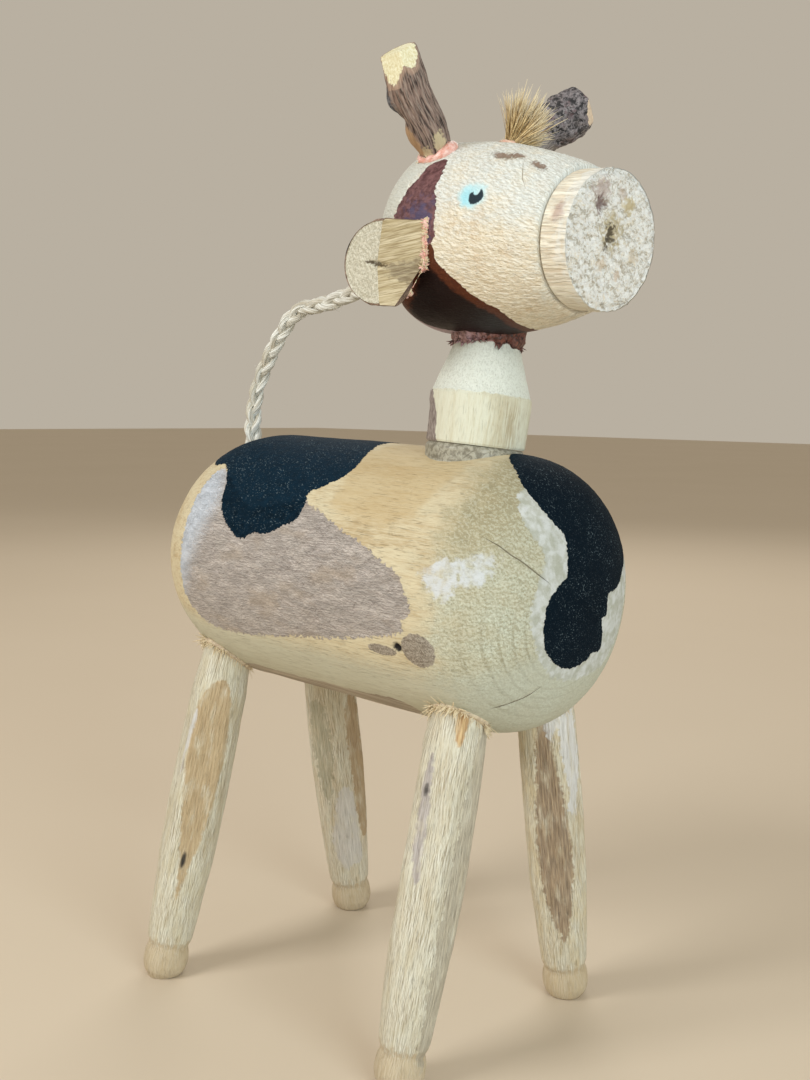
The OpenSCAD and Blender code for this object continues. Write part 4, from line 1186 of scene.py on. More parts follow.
# Each leg: its top and foot, flat cuts on it, paint outlines (height, mm round it from the
# middle of its front right side) and the colours and raggedness of each painted mark
TAN_BROWN = ((0.40, 0.29, 0.16), (0.52, 0.40, 0.24))
BARK_TONES = ((0.20, 0.135, 0.085), (0.40, 0.29, 0.19))
WHITE_TONES = ((0.60, 0.60, 0.58), (0.78, 0.79, 0.80))
GREY_TONES = ((0.30, 0.27, 0.23), (0.50, 0.45, 0.37))
DARK_TONES = ((0.02, 0.018, 0.016), (0.05, 0.045, 0.04))
LEGS = {
    "rear_right_leg": dict(
        top=(-41.6, -19), foot=(-51, -36),
        cuts=[(6, 7.3, 7.0, 22, 92), (-62, 7.6, 7.4, 10, 88), (80, 7.7, 7.3, 15, 95),
              (150, 7.5, 7.2, 20, 90), (-135, 7.8, 7.0, 15, 80)],
        marks=[("heart", [(24, 0.4), (32, -0.4), (40, -1.6), (57, -4), (70, -5.2), (82, -4.6),
                          (89, 0.8), (85, 4.8), (70, 6.6), (57, 6), (43, 4.4), (32, 2)],
                *TAN_BROWN, 0.5, 0.9),
               ("white", [(60, -7.2), (67, -7.4), (78, -5.6), (78, -4.4), (70, -5.2),
                          (62, -6.2)], *WHITE_TONES, 0.4, 0.9),
               ("dark", [(33.6, 0.1), (36, -0.5), (38.6, 0.4), (36, 1.1)], *DARK_TONES,
                0.1, 1.0),
               ("spot", [(60.5, -6.3), (63, -6.9), (64.5, -6), (62, -5.4)], *GREY_TONES,
                0.4, 0.9)],
        tones=((0.62, 0.58, 0.43), (0.48, 0.41, 0.27))),
    "front_right_leg": dict(
        top=(43, -18), foot=(37.6, -34),
        cuts=[(-24, 7.7, 7.4, 6, 96), (42, 7.4, 7.2, 16, 94), (104, 7.6, 7.5, 10, 92),
              (-95, 7.7, 7.4, 20, 88), (165, 7.5, 7.3, 10, 90)],
        marks=[("grey", [(8, 5.5), (30, 3.4), (60, 4.2), (84, 6), (92, 9), (70, 13), (30, 12),
                         (10, 10)], (0.36, 0.32, 0.25), (0.54, 0.49, 0.38), 1.6, 0.75),
               ("bark", [(51, -5), (58, -6.6), (70, -7.2), (81, -7), (82, -5.6), (72, -4.8),
                         (60, -4.2), (53, -4)], (0.33, 0.29, 0.28), (0.52, 0.48, 0.47),
                0.6, 0.85),
               ("dark", [(72.6, -6.2), (74.5, -6.6), (75.8, -6), (74, -5.6)], *DARK_TONES,
                0.1, 1.0),
               ("resin", [(86, 0.4), (90, -1.2), (94.5, -0.6), (94, 2), (89, 1.8)],
                (0.42, 0.22, 0.08), (0.66, 0.46, 0.22), 0.5, 0.85)],
        tones=((0.66, 0.62, 0.48), (0.49, 0.43, 0.30))),
    "front_left_leg": dict(
        top=(42, 18), foot=(42.6, 34),
        cuts=[(-14, 7.5, 7.4, 16, 94), (56, 7.5, 7.2, 14, 92), (-84, 7.6, 7.5, 12, 90),
              (130, 7.6, 7.2, 18, 92), (-150, 7.4, 7.3, 16, 88)],
        marks=[("bark", [(91, -2.4), (80, -4.2), (68, -4.9), (49, -6), (33, -4.7), (21, -0.6),
                         (23, 1.2), (33, 3.2), (46, 4), (58, 3), (68, 2), (76, 0.6), (86, -0.2)],
                *BARK_TONES, 0.9, 0.85),
               ("white", [(95, 1.5), (89, -1.2), (83, -1.3), (80, 0.4), (84, 2.4), (74, 3),
                          (65, 4.6), (60, 3.4), (57.5, 6), (57, 8), (62, 9), (68, 11),
                          (78, 11), (92, 8)], *WHITE_TONES, 0.9, 0.85)],
        tones=((0.64, 0.56, 0.38), (0.50, 0.40, 0.24))),
    "rear_left_leg": dict(
        top=(-40.5, 19), foot=(-42.8, 36),
        cuts=[(-24, 7.4, 7.2, 14, 92), (52, 7.2, 6.9, 14, 94), (120, 7.6, 7.2, 18, 92),
              (-100, 7.6, 7.4, 16, 90), (-170, 7.5, 7.3, 14, 88)],
        marks=[("grey", [(74, -7), (58, -7.4), (44, -5.4), (42, -2.6), (58, -0.8), (74, -2)],
                (0.30, 0.29, 0.20), (0.46, 0.43, 0.31), 1.4, 0.6),
               ("white", [(47, 2.4), (43, -0.4), (35, -2.4), (28, -4), (21, -2.8), (17, -0.5),
                          (18.5, 3), (20, 7), (35, 6.4), (44, 5)],
                (0.52, 0.50, 0.47), (0.66, 0.64, 0.61), 0.9, 0.8),
               ("tan", [(72, 5.6), (50, 6), (30, 7.4), (30, 12), (72, 12)],
                (0.36, 0.25, 0.14), (0.46, 0.33, 0.19), 1.0, 0.8)],
        tones=((0.64, 0.57, 0.43), (0.50, 0.42, 0.28))),
}


def leg_place(top, foot):
    foot = np.array([BODY_X + foot[0], foot[1], 0])
    top = np.array([BODY_X + top[0], top[1], LEG_TOP_Z])
    return Place(foot, top - foot, SIDE_HINT)


def leg(name, top, foot, cuts, marks, tones):
    place, limit = leg_place(top, foot), facets(cuts)
    seed = len(name) + int(abs(foot[0]))

    def radius(high, side):
        fine = np.linspace(-4, 110, 1200)
        soft = np.convolve(np.interp(fine, LEG_HEIGHTS, LEG_SHARES), np.ones(15) / 15, "same")
        whole = LEG_R * np.interp(high, fine[8:-8], soft[8:-8])
        cut = np.minimum(whole, limit(high, side))
        return np.where(high > 13, cut, whole)

    post = Post(place, np.linspace(-2.8, 104, 250), radius, 120)
    p = post.p
    push = (0.22 * noise(p, 12, seed, 2) + 0.07 * noise(p, (2, 2, 9), seed + 1, 2)
            + 0.07 * noise(p, (0.7, 0.7, 5), seed + 2, 2) + 0.04 * noise(p, 0.8, seed + 3, 2))
    points = bent(post, push)
    points[..., 2] = np.maximum(points[..., 2], 0)
    flat = post.unrolled(LEG_R)
    shape = skin(points)
    shape.points[:, 2] = np.maximum(shape.points[:, 2], 0)
    zero = flat[..., :1] * 0
    grain = np.stack([p[..., 2], p[..., 0] + 3, p[..., 1] - 2], -1)
    shape.with_paint(grain=over(grain), skin=over(np.concatenate([flat, zero], -1)),
                     foot=over(smooth(post.high, 15, 6)))
    for mark, area, *_ in marks:
        shape.paint[mark] = over(deep(flat, rounded(area)))
    colours = [(mark, a, b, rag, share) for mark, _, a, b, rag, share in marks]
    return make(name + "_wood", shape, leg_wood(name + "_wood", *tones, colours), name)


def leg_glue(name, top, foot, cuts, **_):
    """The bead where a leg enters the body, with wood fibres torn up in it."""
    place, sides = leg_place(top, foot), 150
    turn = (np.arange(sides) + 0.5) * 2 * np.pi / sides - np.pi
    out = np.stack([np.sin(turn), -np.cos(turn), turn * 0], -1)
    limit = facets(cuts)
    seed = 40 + len(name) + int(abs(foot[1]))

    def at(high):
        whole = LEG_R * np.interp(high, LEG_HEIGHTS, LEG_SHARES)
        r = np.minimum(whole, limit(high, turn))
        return place.out(out * r[:, None] + high[:, None] * [0, 0, 1])

    curve = at(contact(at, off_body, 70, 106, sides))
    outward, down = place.turn(out), place.turn([0, 0, -1])
    size = 0.75 + 0.45 * noise(curve, 3.0, seed, 2)
    parts = [bead(curve + 0.1 * down, outward, down, size, seed)]
    parts.append(splinters(curve, outward, down, 190, 3.2, 0.20, seed + 1))
    rough = noise(curve, 7.0, seed + 2, 1)
    heavy = rough > np.median(rough)
    parts.append(splinters(curve, outward, down, 120, 4.6, 0.38, seed + 3, 0.8, heavy))
    return make(name + "_torn_glue", joined(parts), MATERIALS["leg_glue"], name + "_glue")


# ------------------------------------------------------------------ neck and its glue

NECK = Place(NECK_FOOT, NECK_DIR, SIDE_HINT)
NECK_BARK = [(-2, -27), (-2, -13.2), (3, -12.9), (7, -13.2), (10.4, -15), (12.8, -18), (11, -24),
             (5, -27.5)]


def neck_radius(high, side=0.0):
    return np.interp(high, [-1, 0, 10.5, NECK_EDGE, 13.6, NECK_LEN],
                     [NECK_FOOT_R - 0.1, NECK_FOOT_R, NECK_R, NECK_R - 0.1, NECK_R - 0.75,
                      NECK_TOP_R]) + 0 * side


def neck():
    limit = facets([(-98, 12.3, 12.2, -4, 14), (35, 12.6, 12.75, -8, 13)])
    heights = np.concatenate([[0.0], np.linspace(0.12, NECK_LEN - 0.1, 130), [NECK_LEN]])

    def radius(high, side):
        return np.minimum(neck_radius(high), limit(high, side))

    post = Post(NECK, heights, radius, 240)
    p = post.p
    cone = smooth(post.high, NECK_EDGE, NECK_EDGE + 1.2)
    push = (0.12 * noise(p, 9, 61, 2) + 0.05 * noise(p, (0.8, 0.8, 6), 62, 2)
            + 0.07 * cone * noise(p, 0.8, 63, 3) + 0.10 * cone * noise(p, 3, 64, 2)
            - 0.25 * smooth(post.high, 0.5, 0.0))
    flat = post.unrolled(NECK_R)
    shape = skin(bent(post, push))
    shape.with_paint(grain=over(np.stack([p[..., 2], p[..., 0] - 2, p[..., 1] + 5], -1)),
                     skin=over(np.concatenate([flat, flat[..., :1] * 0], -1)),
                     cone=over(cone), bark=over(deep(flat, rounded(NECK_BARK))))
    return make("neck_block", shape, neck_wood(), "neck", 40)


def neck_glue():
    """The bed under the neck: from its flat foot down to the round back."""
    sides = 260
    turn = (np.arange(sides) + 0.5) * 2 * np.pi / sides - np.pi
    out = np.stack([np.sin(turn), -np.cos(turn), turn * 0], -1)
    r = NECK_FOOT_R + 0.2

    def at(high):
        return NECK.out(out * r + high[:, None] * [0, 0, 1])

    down = contact(at, off_body, 0.5, -12, sides)
    t = np.linspace(0, 1, 26)[:, None]
    high = -0.12 + (down - 0.9) * t
    wide = r - 0.9 + 0.5 * smooth(t, 0, 0.2) + 0.6 * smooth(t, 0.7, 1.0) ** 2
    local = out * np.broadcast_to(wide[..., None], (26, sides, 1))
    local = local + high[..., None] * [0, 0, 1]
    local = local + out * (0.16 * noise(local, 1.8, 71, 3) * smooth(t, 0, 0.2))[..., None]
    shape = skin(NECK.out(local))
    shape.with_paint(grain=over(local), chip=over(high * 0))
    return make("neck_glue_bed", shape, MATERIALS["seat_glue"], "neck_glue")


def head_glue():
    """A ragged collar of pulp and glue between neck and head."""
    sides = 220
    turn = (np.arange(sides) + 0.5) * 2 * np.pi / sides - np.pi
    out = np.stack([np.sin(turn), -np.cos(turn), turn * 0], -1)
    ragged = noise(out * 9, 2.0, 81, 3)
    low = NECK_LEN - 1.5 - 1.6 * np.clip(ragged + 0.1, -0.3, 1)
    t = np.linspace(0, 1, 24)[:, None]
    high = low + (NECK_LEN + 4.5 - low) * t
    wide = neck_radius(low) - 0.15 + 0 * t
    wide = wide + (9.3 - wide) * smooth(t, 0, 0.35) + 0.3 * smooth(t, 0.5, 1)
    local = out * wide[..., None] + high[..., None] * [0, 0, 1]
    shred = noise(local, (1.0, 1.0, 2.2), 82, 4)
    local = local + out * (0.75 * shred * smooth(t, 0, 0.15))[..., None]
    collar = skin(NECK.out(local))
    collar.with_paint(grain=over(local), chip=over(high * 0))
    curve = NECK.out(out * (neck_radius(low) + 0.35)[:, None] + (low + 0.6)[:, None] * [0, 0, 1])
    flakes = splinters(curve, NECK.turn(out), NECK.turn([0, 0, -1]), 70, 1.7, 0.42, 83, 0.9)
    flakes.paint["grain"] = NECK.back(flakes.points)
    flakes.paint["chip"] = flakes.paint["chip"] * 0
    s = Shader("dark_glue")
    grain = s.grain()
    cloud = s.noise(grain, 0.9, 5.0, 0.8)
    colour = s.mix(s.band(cloud, 0.36, 0.62), (0.035, 0.010, 0.009), (0.20, 0.065, 0.045))
    lilac = s.spot(grain, (-7, -5, 25.5), (5.5, 8, 3), 0.6, 0.6, 1.2)
    colour = s.mix(s.mul(lilac, s.band(cloud, 0.3, 0.55)), colour,
                   (0.42, 0.26, 0.27))
    material = s.done(colour, 0.45, cloud, 0.4, 0.5, 0.2)
    return make("pulp_collar", joined([collar, flakes]), material, "head_glue")


# ------------------------------------------------------------------ horns

def horn_place(root, way):
    return Place(HEAD.out(root), HEAD.turn(way), SIDE_HINT)


RIGHT_HORN = horn_place([1.4, -13.1, 19.3], [-0.04, -0.57, 0.82])
LEFT_HORN = horn_place([1.4, 13.1, 19.3], [0.32, 0.63, 0.74])


def bump(high, side, at_high, at_degrees, tall, wide):
    """A swelling round one place on a twig, 1 at its middle."""
    away = (side - math.radians(at_degrees) + np.pi) % (2 * np.pi) - np.pi
    return np.exp(-((high - at_high) / tall) ** 2 - (np.degrees(away) / wide) ** 2)


def horn(name, place, node, material, radius, cuts, length, swell, seed, areas):
    plain = facets(cuts, 0.5)
    post = Post(place, np.concatenate([np.linspace(-4, length - 0.6, 120),
                                       np.full(14, length)]), radius, 130)
    end = np.concatenate([np.ones(120), np.linspace(0.94, 0.04, 14)])[:, None]
    whole = (post.r + swell(post.high, post.side)) * end
    p = whole[..., None] * post.out + post.high[..., None] * [0, 0, 1]
    bark = (0.24 * noise(p, (0.55, 0.55, 4.0), seed, 3) + 0.25 * noise(p, (2, 2, 3.5), seed + 1, 2))
    whole = whole + bark * smooth(end, 0.5, 1)
    cut = plain(post.high, post.side)
    r = np.minimum(whole, cut + 0.05 * noise(p, 0.8, seed + 2, 2))
    sway = np.stack([0.35 * np.sin(post.high * 0.32), 0.2 * np.cos(post.high * 0.27),
                     0.35 * noise(p, 1.4, seed + 3, 2) * (1 - end)], -1)
    shape = skin(place.out(r[..., None] * post.out + post.high[..., None] * [0, 0, 1] + sway))
    flat = post.unrolled(4.6)
    pared = np.clip(np.maximum(whole - cut, (1 - end) * 20 - 3), -6, 6)
    shape.with_paint(grain=over(np.stack([p[..., 2], p[..., 0], p[..., 1]], -1)),
                     skin=over(np.concatenate([flat, flat[..., :1] * 0], -1)), pared=over(pared))
    for area, points in areas.items():
        shape.paint[area] = over(deep(flat, rounded(points)))
    return make(name, shape, material, node, 50)


def right_horn():
    def radius(high, side):
        return np.interp(high, [-4, 0, 3, 10, 18, 25], [3.9, 4.1, 4.3, 4.75, 4.8, 4.3])

    def swell(high, side):
        return (1.1 * bump(high, side, 15.2, -92, 2.6, 34) - 0.9 * bump(high, side, 10.2, -92, 1.6, 40)
                + 0.9 * bump(high, side, 5.6, -84, 3.0, 42) - 0.5 * bump(high, side, 1.2, -70, 1.5, 45))

    cuts = [(-38, 5.4, 1.2, 17.4, 27), (34, 5.4, 1.4, 19.0, 28), (122, 5.3, 3.0, 22.5, 28),
            (-112, 5.6, 3.0, 21.5, 28)]
    areas = {"slate": [(10.5, -9.2), (12, -5.4), (15.5, -5), (18, -6), (18.5, -9), (15, -10)],
             "tan": [(1, -9), (1.5, -3.6), (5, -3.2), (8.4, -4.6), (9, -8.4), (5, -10)]}
    return horn("twig_horn", RIGHT_HORN, "right_horn", twig_bark(), radius, cuts,
                25, swell, 90, areas)


def left_horn():
    def radius(high, side):
        return np.interp(high, [-4, 0, 8, 12, 16, 20.5, 25.5], [3.8, 3.9, 3.9, 4.5, 5.7, 6.2, 5.2])

    def swell(high, side):
        knots = ((13, -60, 1.8, 30, 0.7), (16, 60, 2.0, 36, 0.9), (20.5, -100, 1.8, 30, 0.8),
                 (18, 0, 1.6, 26, 0.6), (21, 140, 2.0, 40, 0.8), (14, 170, 2.2, 36, 0.7))
        total = sum(k[4] * bump(high, side, *k[:4]) for k in knots)
        lumps = np.stack([high, side * 4, side * 0], -1)
        return total + 0.55 * smooth(high, 9, 13) * noise(lumps, 1.7, 97, 3)

    cuts = [(64, 6.4, 0.6, 21.4, 29), (-160, 7.0, 3.2, 23.0, 29)]
    areas = {"burnt": [(12, -15), (11, -8), (13, -2), (11, 3), (13.5, 9), (12, 15), (30, 15),
                       (30, -15)]}
    return horn("charred_horn", LEFT_HORN, "left_horn", charred_bark(), radius,
                cuts, 25.5, swell, 95, areas)


def horn_glue(name, place, node, r, heavy_at, chips_and_lit_chips, seed):
    sides = 120
    turn = (np.arange(sides) + 0.5) * 2 * np.pi / sides - np.pi
    out = np.stack([np.sin(turn), -np.cos(turn), turn * 0], -1)

    def at(high):
        return place.out(out * r + high[:, None] * [0, 0, 1])

    curve = at(contact(at, off_head, 6, -6, sides))
    outward, up = place.turn(out), place.turn([0, 0, 1])
    away = np.abs((turn - math.radians(heavy_at) + np.pi) % (2 * np.pi) - np.pi)
    size = 0.75 + 0.95 * np.exp(-(away / 0.9) ** 2) + 0.25 * noise(curve, 2.0, seed, 2)
    parts = [bead(curve + 0.2 * up, outward, up, size, seed, 18, 0.4),
             splinters(curve, outward, up, chips_and_lit_chips, 2.0, 0.28, seed + 1, 0.9, away > 1.0)]
    return make(name, joined(parts), MATERIALS["pink_glue"], node)


# ------------------------------------------------------------------ ears

EAR_R, EAR_PITH, EAR_SLOPE = 10.1, 3.5, math.radians(84)
EAR_TIP, EAR_ROOT, EAR_SKEW = 8.0, -3.0, 0.625


def ear_place(side):
    """Along the ear, with its split face as X; -1 is the animal's right side."""
    return Place(HEAD.out([5.8, side * 21.8, -7.9]), HEAD.turn([-0.785, side * 0.62, -0.03]),
                 HEAD.turn([0.62, side * 0.785, 0]))


def ear_end(x):
    """The slanting cut at the tip."""
    return EAR_TIP - (x - EAR_PITH)


def ear_base(up):
    """The sawn root, askew below the pith."""
    return EAR_ROOT + EAR_SKEW * np.maximum(0, -up)


def ear_section():
    """Half a branch: round bark behind, and two flats that meet at the pith in front. Gives
    points, outward directions, and 1 for bark or 0 for split wood."""
    bark = np.linspace(EAR_SLOPE, 2 * np.pi - EAR_SLOPE, 110)
    flat = np.linspace(1, 0, 42)[1:]
    round_part = EAR_R * np.stack([np.cos(bark), np.sin(bark)], -1)
    low, high = round_part[-1], round_part[0]
    points = np.concatenate([round_part, low * flat[:, None], high * flat[::-1][1:, None]])
    out = np.concatenate([round_part / EAR_R, np.tile([1.0, 0.0], (len(points) - 110, 1))])
    is_bark = np.concatenate([np.ones(110), np.zeros(len(points) - 110)])
    return points + [EAR_PITH, 0], out, is_bark


def ear(side, name, node, seed):
    place = ear_place(side)
    up = -side
    section, out, is_bark = ear_section()
    n, rows, cap = len(section), 100, 30
    base, tip = ear_base(section[:, 1] * up), ear_end(section[:, 0])
    t = np.linspace(0, 1, rows)[:, None]
    z = base + (tip - base) * t
    round_off = 1 - 0.05 * smooth(t, 0.93, 1.0)
    side_xy = [EAR_PITH, 0] + (section - [EAR_PITH, 0]) * round_off[..., None]
    wall = np.concatenate([side_xy, z[..., None]], -1)
    q = np.linspace(0.985, 0.03, cap)[:, None]
    cap_xy = [EAR_PITH, 0] + (section - [EAR_PITH, 0]) * (0.95 * q[..., None])
    cap_z = ear_end(cap_xy[..., 0])
    p = np.concatenate([wall, np.concatenate([cap_xy, cap_z[..., None]], -1)])
    end = np.concatenate([np.zeros(rows), np.ones(cap)])[:, None] + np.zeros(n)
    bark = np.broadcast_to(is_bark, end.shape) * (1 - end)
    split = (1 - end) * (1 - bark)
    high = p[..., 2]
    along = np.stack([high, p[..., 1], p[..., 0] * 0], -1)
    crack = near_line((5.4, -0.4), (10.5, 0.2), along[..., :2] * [1, up], 0.45)
    torn = deep(along[..., :2] * [1, up], rounded([(-4, 1), (0, 0.6), (4, 0), (6, -0.6),
                                                   (5, -2.6), (2, -4.2), (-3, -5)]))
    rough = smooth(torn, -1, 1.5)
    push = split * (0.16 * noise(p, (0.8, 0.8, 12), seed, 3)
                    + rough * (0.5 * noise(p, (0.7, 0.7, 3.5), seed + 1, 3) - 0.2)
                    - 0.8 * crack)
    push = push + bark * (0.30 * noise(p, (2.5, 2.5, 5), seed + 2, 3)
                          + 0.10 * noise(p, (0.6, 0.6, 3), seed + 3, 2))
    tip_push = end * (0.14 * noise(p, 0.8, seed + 4, 3) + 0.16 * noise(p, 3, seed + 5, 2)
                      - 0.9 * crack)
    local = p + np.concatenate([out, np.zeros((n, 1))], -1) * push[..., None]
    local = local + tip_push[..., None] * [0.7, 0, 0.7]
    shape = skin(place.out(local))
    pith = deep(along[..., :2] * [1, up], rounded([(5.6, -0.6), (7.4, -0.1), (10.6, 0.5), (11.4, 0.2),
                                                   (9.6, -0.5), (7, -0.9)]))
    black = deep(along[..., :2] * [1, up], rounded([(12, 3), (13, 6.6), (19, 7), (20, 2), (16, 1)]))
    shape.with_paint(grain=over(np.stack([p[..., 2], p[..., 0], p[..., 1]], -1)),
                     skin=over(along), end=over(end), bark=over(bark), torn=over(torn),
                     pith=over(np.where(bark > 0.5, -6, pith)),
                     black=over(np.where(bark > 0.5, black, -6)))
    return make(name, shape, MATERIALS["ear_wood"], node, 38)


def ear_glue(side, name, node, seed):
    """Glue and torn chips along the ear's root, where it lies close to the head."""
    place = ear_place(side)
    section, out, _ = ear_section()
    base = ear_base(section[:, 1] * -side)

    def at(high):
        return place.out(np.concatenate([section, high[:, None]], -1))

    high = np.maximum(contact(at, off_head, 10, -9, len(section)), base)
    curve = at(high)
    gap = np.maximum(off_head(curve), 0)
    outward = place.turn(np.concatenate([out, out[:, :1] * 0], -1))
    down = -HEAD.turn(unit(HEAD.back(curve) * [0, 1, 1]))
    curve = curve + 0.5 * gap[:, None] * down
    near = smooth(gap, 3.0, 0.8)
    size = (0.4 + 0.4 * near * gap + 0.5 * noise(curve, 1.2, seed, 3)) * (0.1 + 0.9 * near)
    size = np.maximum(size, 0.06)
    up = place.turn([0, 0, 1])
    front = (out[:, 0] > 0.5) & (near > 0.2)
    main = bead(curve, outward, up, size, seed, 14, 0.5)
    main.paint["chip"] = smooth(noise(main.points, 1.6, seed + 4, 3), 0.02, 0.2)
    parts = [main, splinters(curve, outward, -up, 380, 1.5, 0.45, seed + 1, 1.6, front)]
    shreds = splinters(curve, outward, -up, 170, 1.5, 0.6, seed + 2, 1.4, front)
    shreds.paint["chip"] = shreds.paint["chip"] * 0
    return make(name, joined(parts + [shreds]), MATERIALS["pink_glue"], node)


# ------------------------------------------------------------------ forelock

FORELOCK_ROOT = [12.7, 0, 22.8]


def forelock():
    """Plant fibres that fan from one hole: upright at one side, drooping at the other."""
    rng = np.random.default_rng(7)
    count = 560
    root = HEAD.out(FORELOCK_ROOT)
    right = unit([0.76, 0.65, 0.0])
    toward = unit([0.65, -0.76, 0.0])
    lean = np.radians(rng.triangular(-14, 34, 74, count))
    droops = rng.uniform(0, 1, count) > 0.9
    lean = np.where(droops, np.radians(rng.uniform(60, 84, count)), lean)
    depth = rng.normal(0, 0.26, count)
    way = (np.cos(lean)[:, None] * [0, 0, 1] + np.sin(lean)[:, None] * right
           + depth[:, None] * toward)
    size = np.where(droops, rng.uniform(6, 12, count), rng.uniform(9.5, 15.2, count))
    size = size * (1 - 0.15 * np.clip(lean, 0, 1))
    starts = root + rng.normal(0, 0.42, (count, 3)) * [1, 1, 0.1] - [0, 0, 1.4]
    paths = wander(starts, way, size, 9, 0.09, 8)
    thick = rng.uniform(0.10, 0.24, (count, 1))
    radii = thick * np.array([0.8, 1, 1, 1, 0.95, 0.9, 0.8, 0.6, 0.25])
    hair = strands(paths, radii, 4, 0.6)
    per = len(hair.points) // count
    t = np.concatenate([np.repeat(np.linspace(0, 1, 9), 4), [0, 1]])
    offset = np.repeat(rng.uniform(0, 99, count), per)
    grain = np.stack([np.tile(t, count) * 12, offset, offset * 0.3], -1)
    hair.with_paint(grain=grain, tip=np.tile(t, count))
    return make("fibre_forelock", hair, sisal(), "forelock")


def round_glue(name, node, place, r, off, size, material, chips_and_lit_chips, seed):
    """A small bead round a hole in a skin."""
    sides = 64
    turn = (np.arange(sides) + 0.5) * 2 * np.pi / sides - np.pi
    out = np.stack([np.sin(turn), -np.cos(turn), turn * 0], -1)

    def at(high):
        return place.out(out * r + high[:, None] * [0, 0, 1])

    curve = at(contact(at, off, 6, -6, sides))
    outward, up = place.turn(out), place.turn([0, 0, 1])
    around = size * (1 + 0.35 * noise(curve, 1.5, seed, 2))
    parts = [bead(curve, outward, up, around, seed, 14, 0.2)]
    if chips_and_lit_chips:
        parts.append(splinters(curve, outward, up, chips_and_lit_chips, 1.6, 0.22, seed + 1, 0.9))
    return make(name, joined(parts), MATERIALS[material], node)


# ------------------------------------------------------------------ tail

def route(points, step=0.4):
    """A smooth line through given points, with its length at each place."""
    p = np.array(points, float)
    p = np.concatenate([[2 * p[0] - p[1]], p, [2 * p[-1] - p[-2]]])
    t = np.linspace(0, 1, 12, endpoint=False)[:, None]
    parts = []
    for a, b, c, d in zip(p, p[1:], p[2:], p[3:]):
        parts.append(0.5 * (2 * b + (c - a) * t + (2 * a - 5 * b + 4 * c - d) * t ** 2
                            + (3 * b - a - 3 * c + d) * t ** 3))
    line = np.concatenate(parts + [p[-2:-1]])
    arc = np.concatenate([[0], np.cumsum(np.linalg.norm(np.diff(line, axis=0), axis=1))])
    even = np.linspace(0, arc[-1], int(arc[-1] / step) + 1)
    return np.stack([np.interp(even, arc, line[:, k]) for k in range(3)], -1), even


def ply(line, arc, centre_off, radius, seed, sides=20):
    """One bundle of fibres that follows a line at some distance from it."""
    way = unit(np.gradient(line + centre_off, axis=0))
    side = unit(np.cross(way, [0.65, -0.76, 0.05]))
    up = np.cross(side, way)
    turn = np.arange(sides) * 2 * np.pi / sides
    twist = arc[:, None] * 0.35
    lobes = 1 + 0.13 * np.cos(5 * (turn + twist)) + 0.06 * np.cos(9 * turn - twist * 2)
    ring = np.cos(turn)[:, None] * side[:, None] + 0.82 * np.sin(turn)[:, None] * up[:, None]
    points = (line + centre_off)[:, None] + (radius[:, None] * lobes)[..., None] * ring
    points = points + ring * (0.10 * noise(points, (0.8, 0.8, 0.8), seed, 2))[..., None]
    shape = skin(points)
    along = np.stack(np.broadcast_arrays(arc[:, None], (turn + twist) * 1.1, seed * 3.0), -1)
    return shape.with_paint(skin=over(along), grain=over(along))


def tail():
    """Three bundles of fibre plaited loosely, with stray fibres."""
    places = np.array(TAIL, float) + [BODY_X, 0, 0]
    line, arc = route(places)
    way = unit(np.gradient(line, axis=0))
    across = unit(np.cross(way, [0.65, -0.76, 0.05]))
    behind = np.cross(across, way)
    pitch = 19 + 3 * noise(np.stack([arc, arc * 0, arc * 0], -1), 14, 101, 1)
    turns = np.cumsum(np.gradient(arc) / pitch)
    slack = 1.0 + 0.30 * np.exp(-((arc - 12) / 7) ** 2)
    parts = []
    for k in range(3):
        phase = 2 * np.pi * (turns + k / 3)
        off = (across * (1.22 * slack * np.sin(phase))[:, None]
               + behind * (0.62 * np.sin(2 * phase))[:, None])
        radius = 1.0 + 0.14 * noise(np.stack([arc, arc * 0 + 9 * k, arc * 0], -1), 6, 102, 2)
        parts.append(ply(line, arc, off, radius, 103 + k))
    rng = np.random.default_rng(9)
    pick = rng.integers(24, len(line) - 30, 26)
    start = line[pick] + across[pick] * rng.uniform(-1.6, 1.6, (26, 1))
    hairs = wander(start, way[pick] + rng.normal(0, 0.16, (26, 3)), rng.uniform(4, 8, 26), 8,
                   0.07, 10)
    stray = strands(hairs, np.full((26, 8), 0.07) * np.linspace(1, 0.4, 8), 4)
    stray.with_paint(skin=stray.points, grain=stray.points)
    rope = make("plaited_tail", joined(parts + [stray]), MATERIALS["rope"], "tail_rope")
    return rope, places, arc[-1]


def tail_end():
    """The knot, an overhand turn of the rope, and the loose fibres beyond it."""
    tip = np.array(TAIL[-1], float) + [BODY_X, 0, 0]
    way = unit(np.array(TAIL[-1], float) - np.array(TAIL[-2], float))
    place = Place(tip + 2.6 * way, way, [0, 0, 1])
    t = np.linspace(0, 2 * np.pi, 150)
    loop = np.stack([(np.sin(t) + 2 * np.sin(2 * t)) * 0.68, (np.cos(t) - 2 * np.cos(2 * t)) * 0.68,
                     -0.85 * np.sin(3 * t)], -1)
    knot = ply(place.out(loop), t * 3.3, loop * 0, np.full(150, 0.98), 111, 16)
    rng = np.random.default_rng(12)
    count = 120
    spread = rng.normal(0, 0.2, (count, 3))
    starts = place.out(rng.normal(0, 0.6, (count, 3)) * [1, 1, 0.2])
    paths = wander(starts, way + spread, rng.uniform(6, 9, count), 8, 0.06, 13)
    radii = rng.uniform(0.09, 0.2, (count, 1)) * np.array([1, 1, 1, 1, 0.9, 0.8, 0.6, 0.3])
    tuft = strands(paths, radii, 4, 0.6)
    tuft.with_paint(skin=tuft.points, grain=tuft.points)
    return make("tail_knot_tuft", joined([knot, tuft]), MATERIALS["rope"], "tail_knot")


# ------------------------------------------------------------------ floor and light

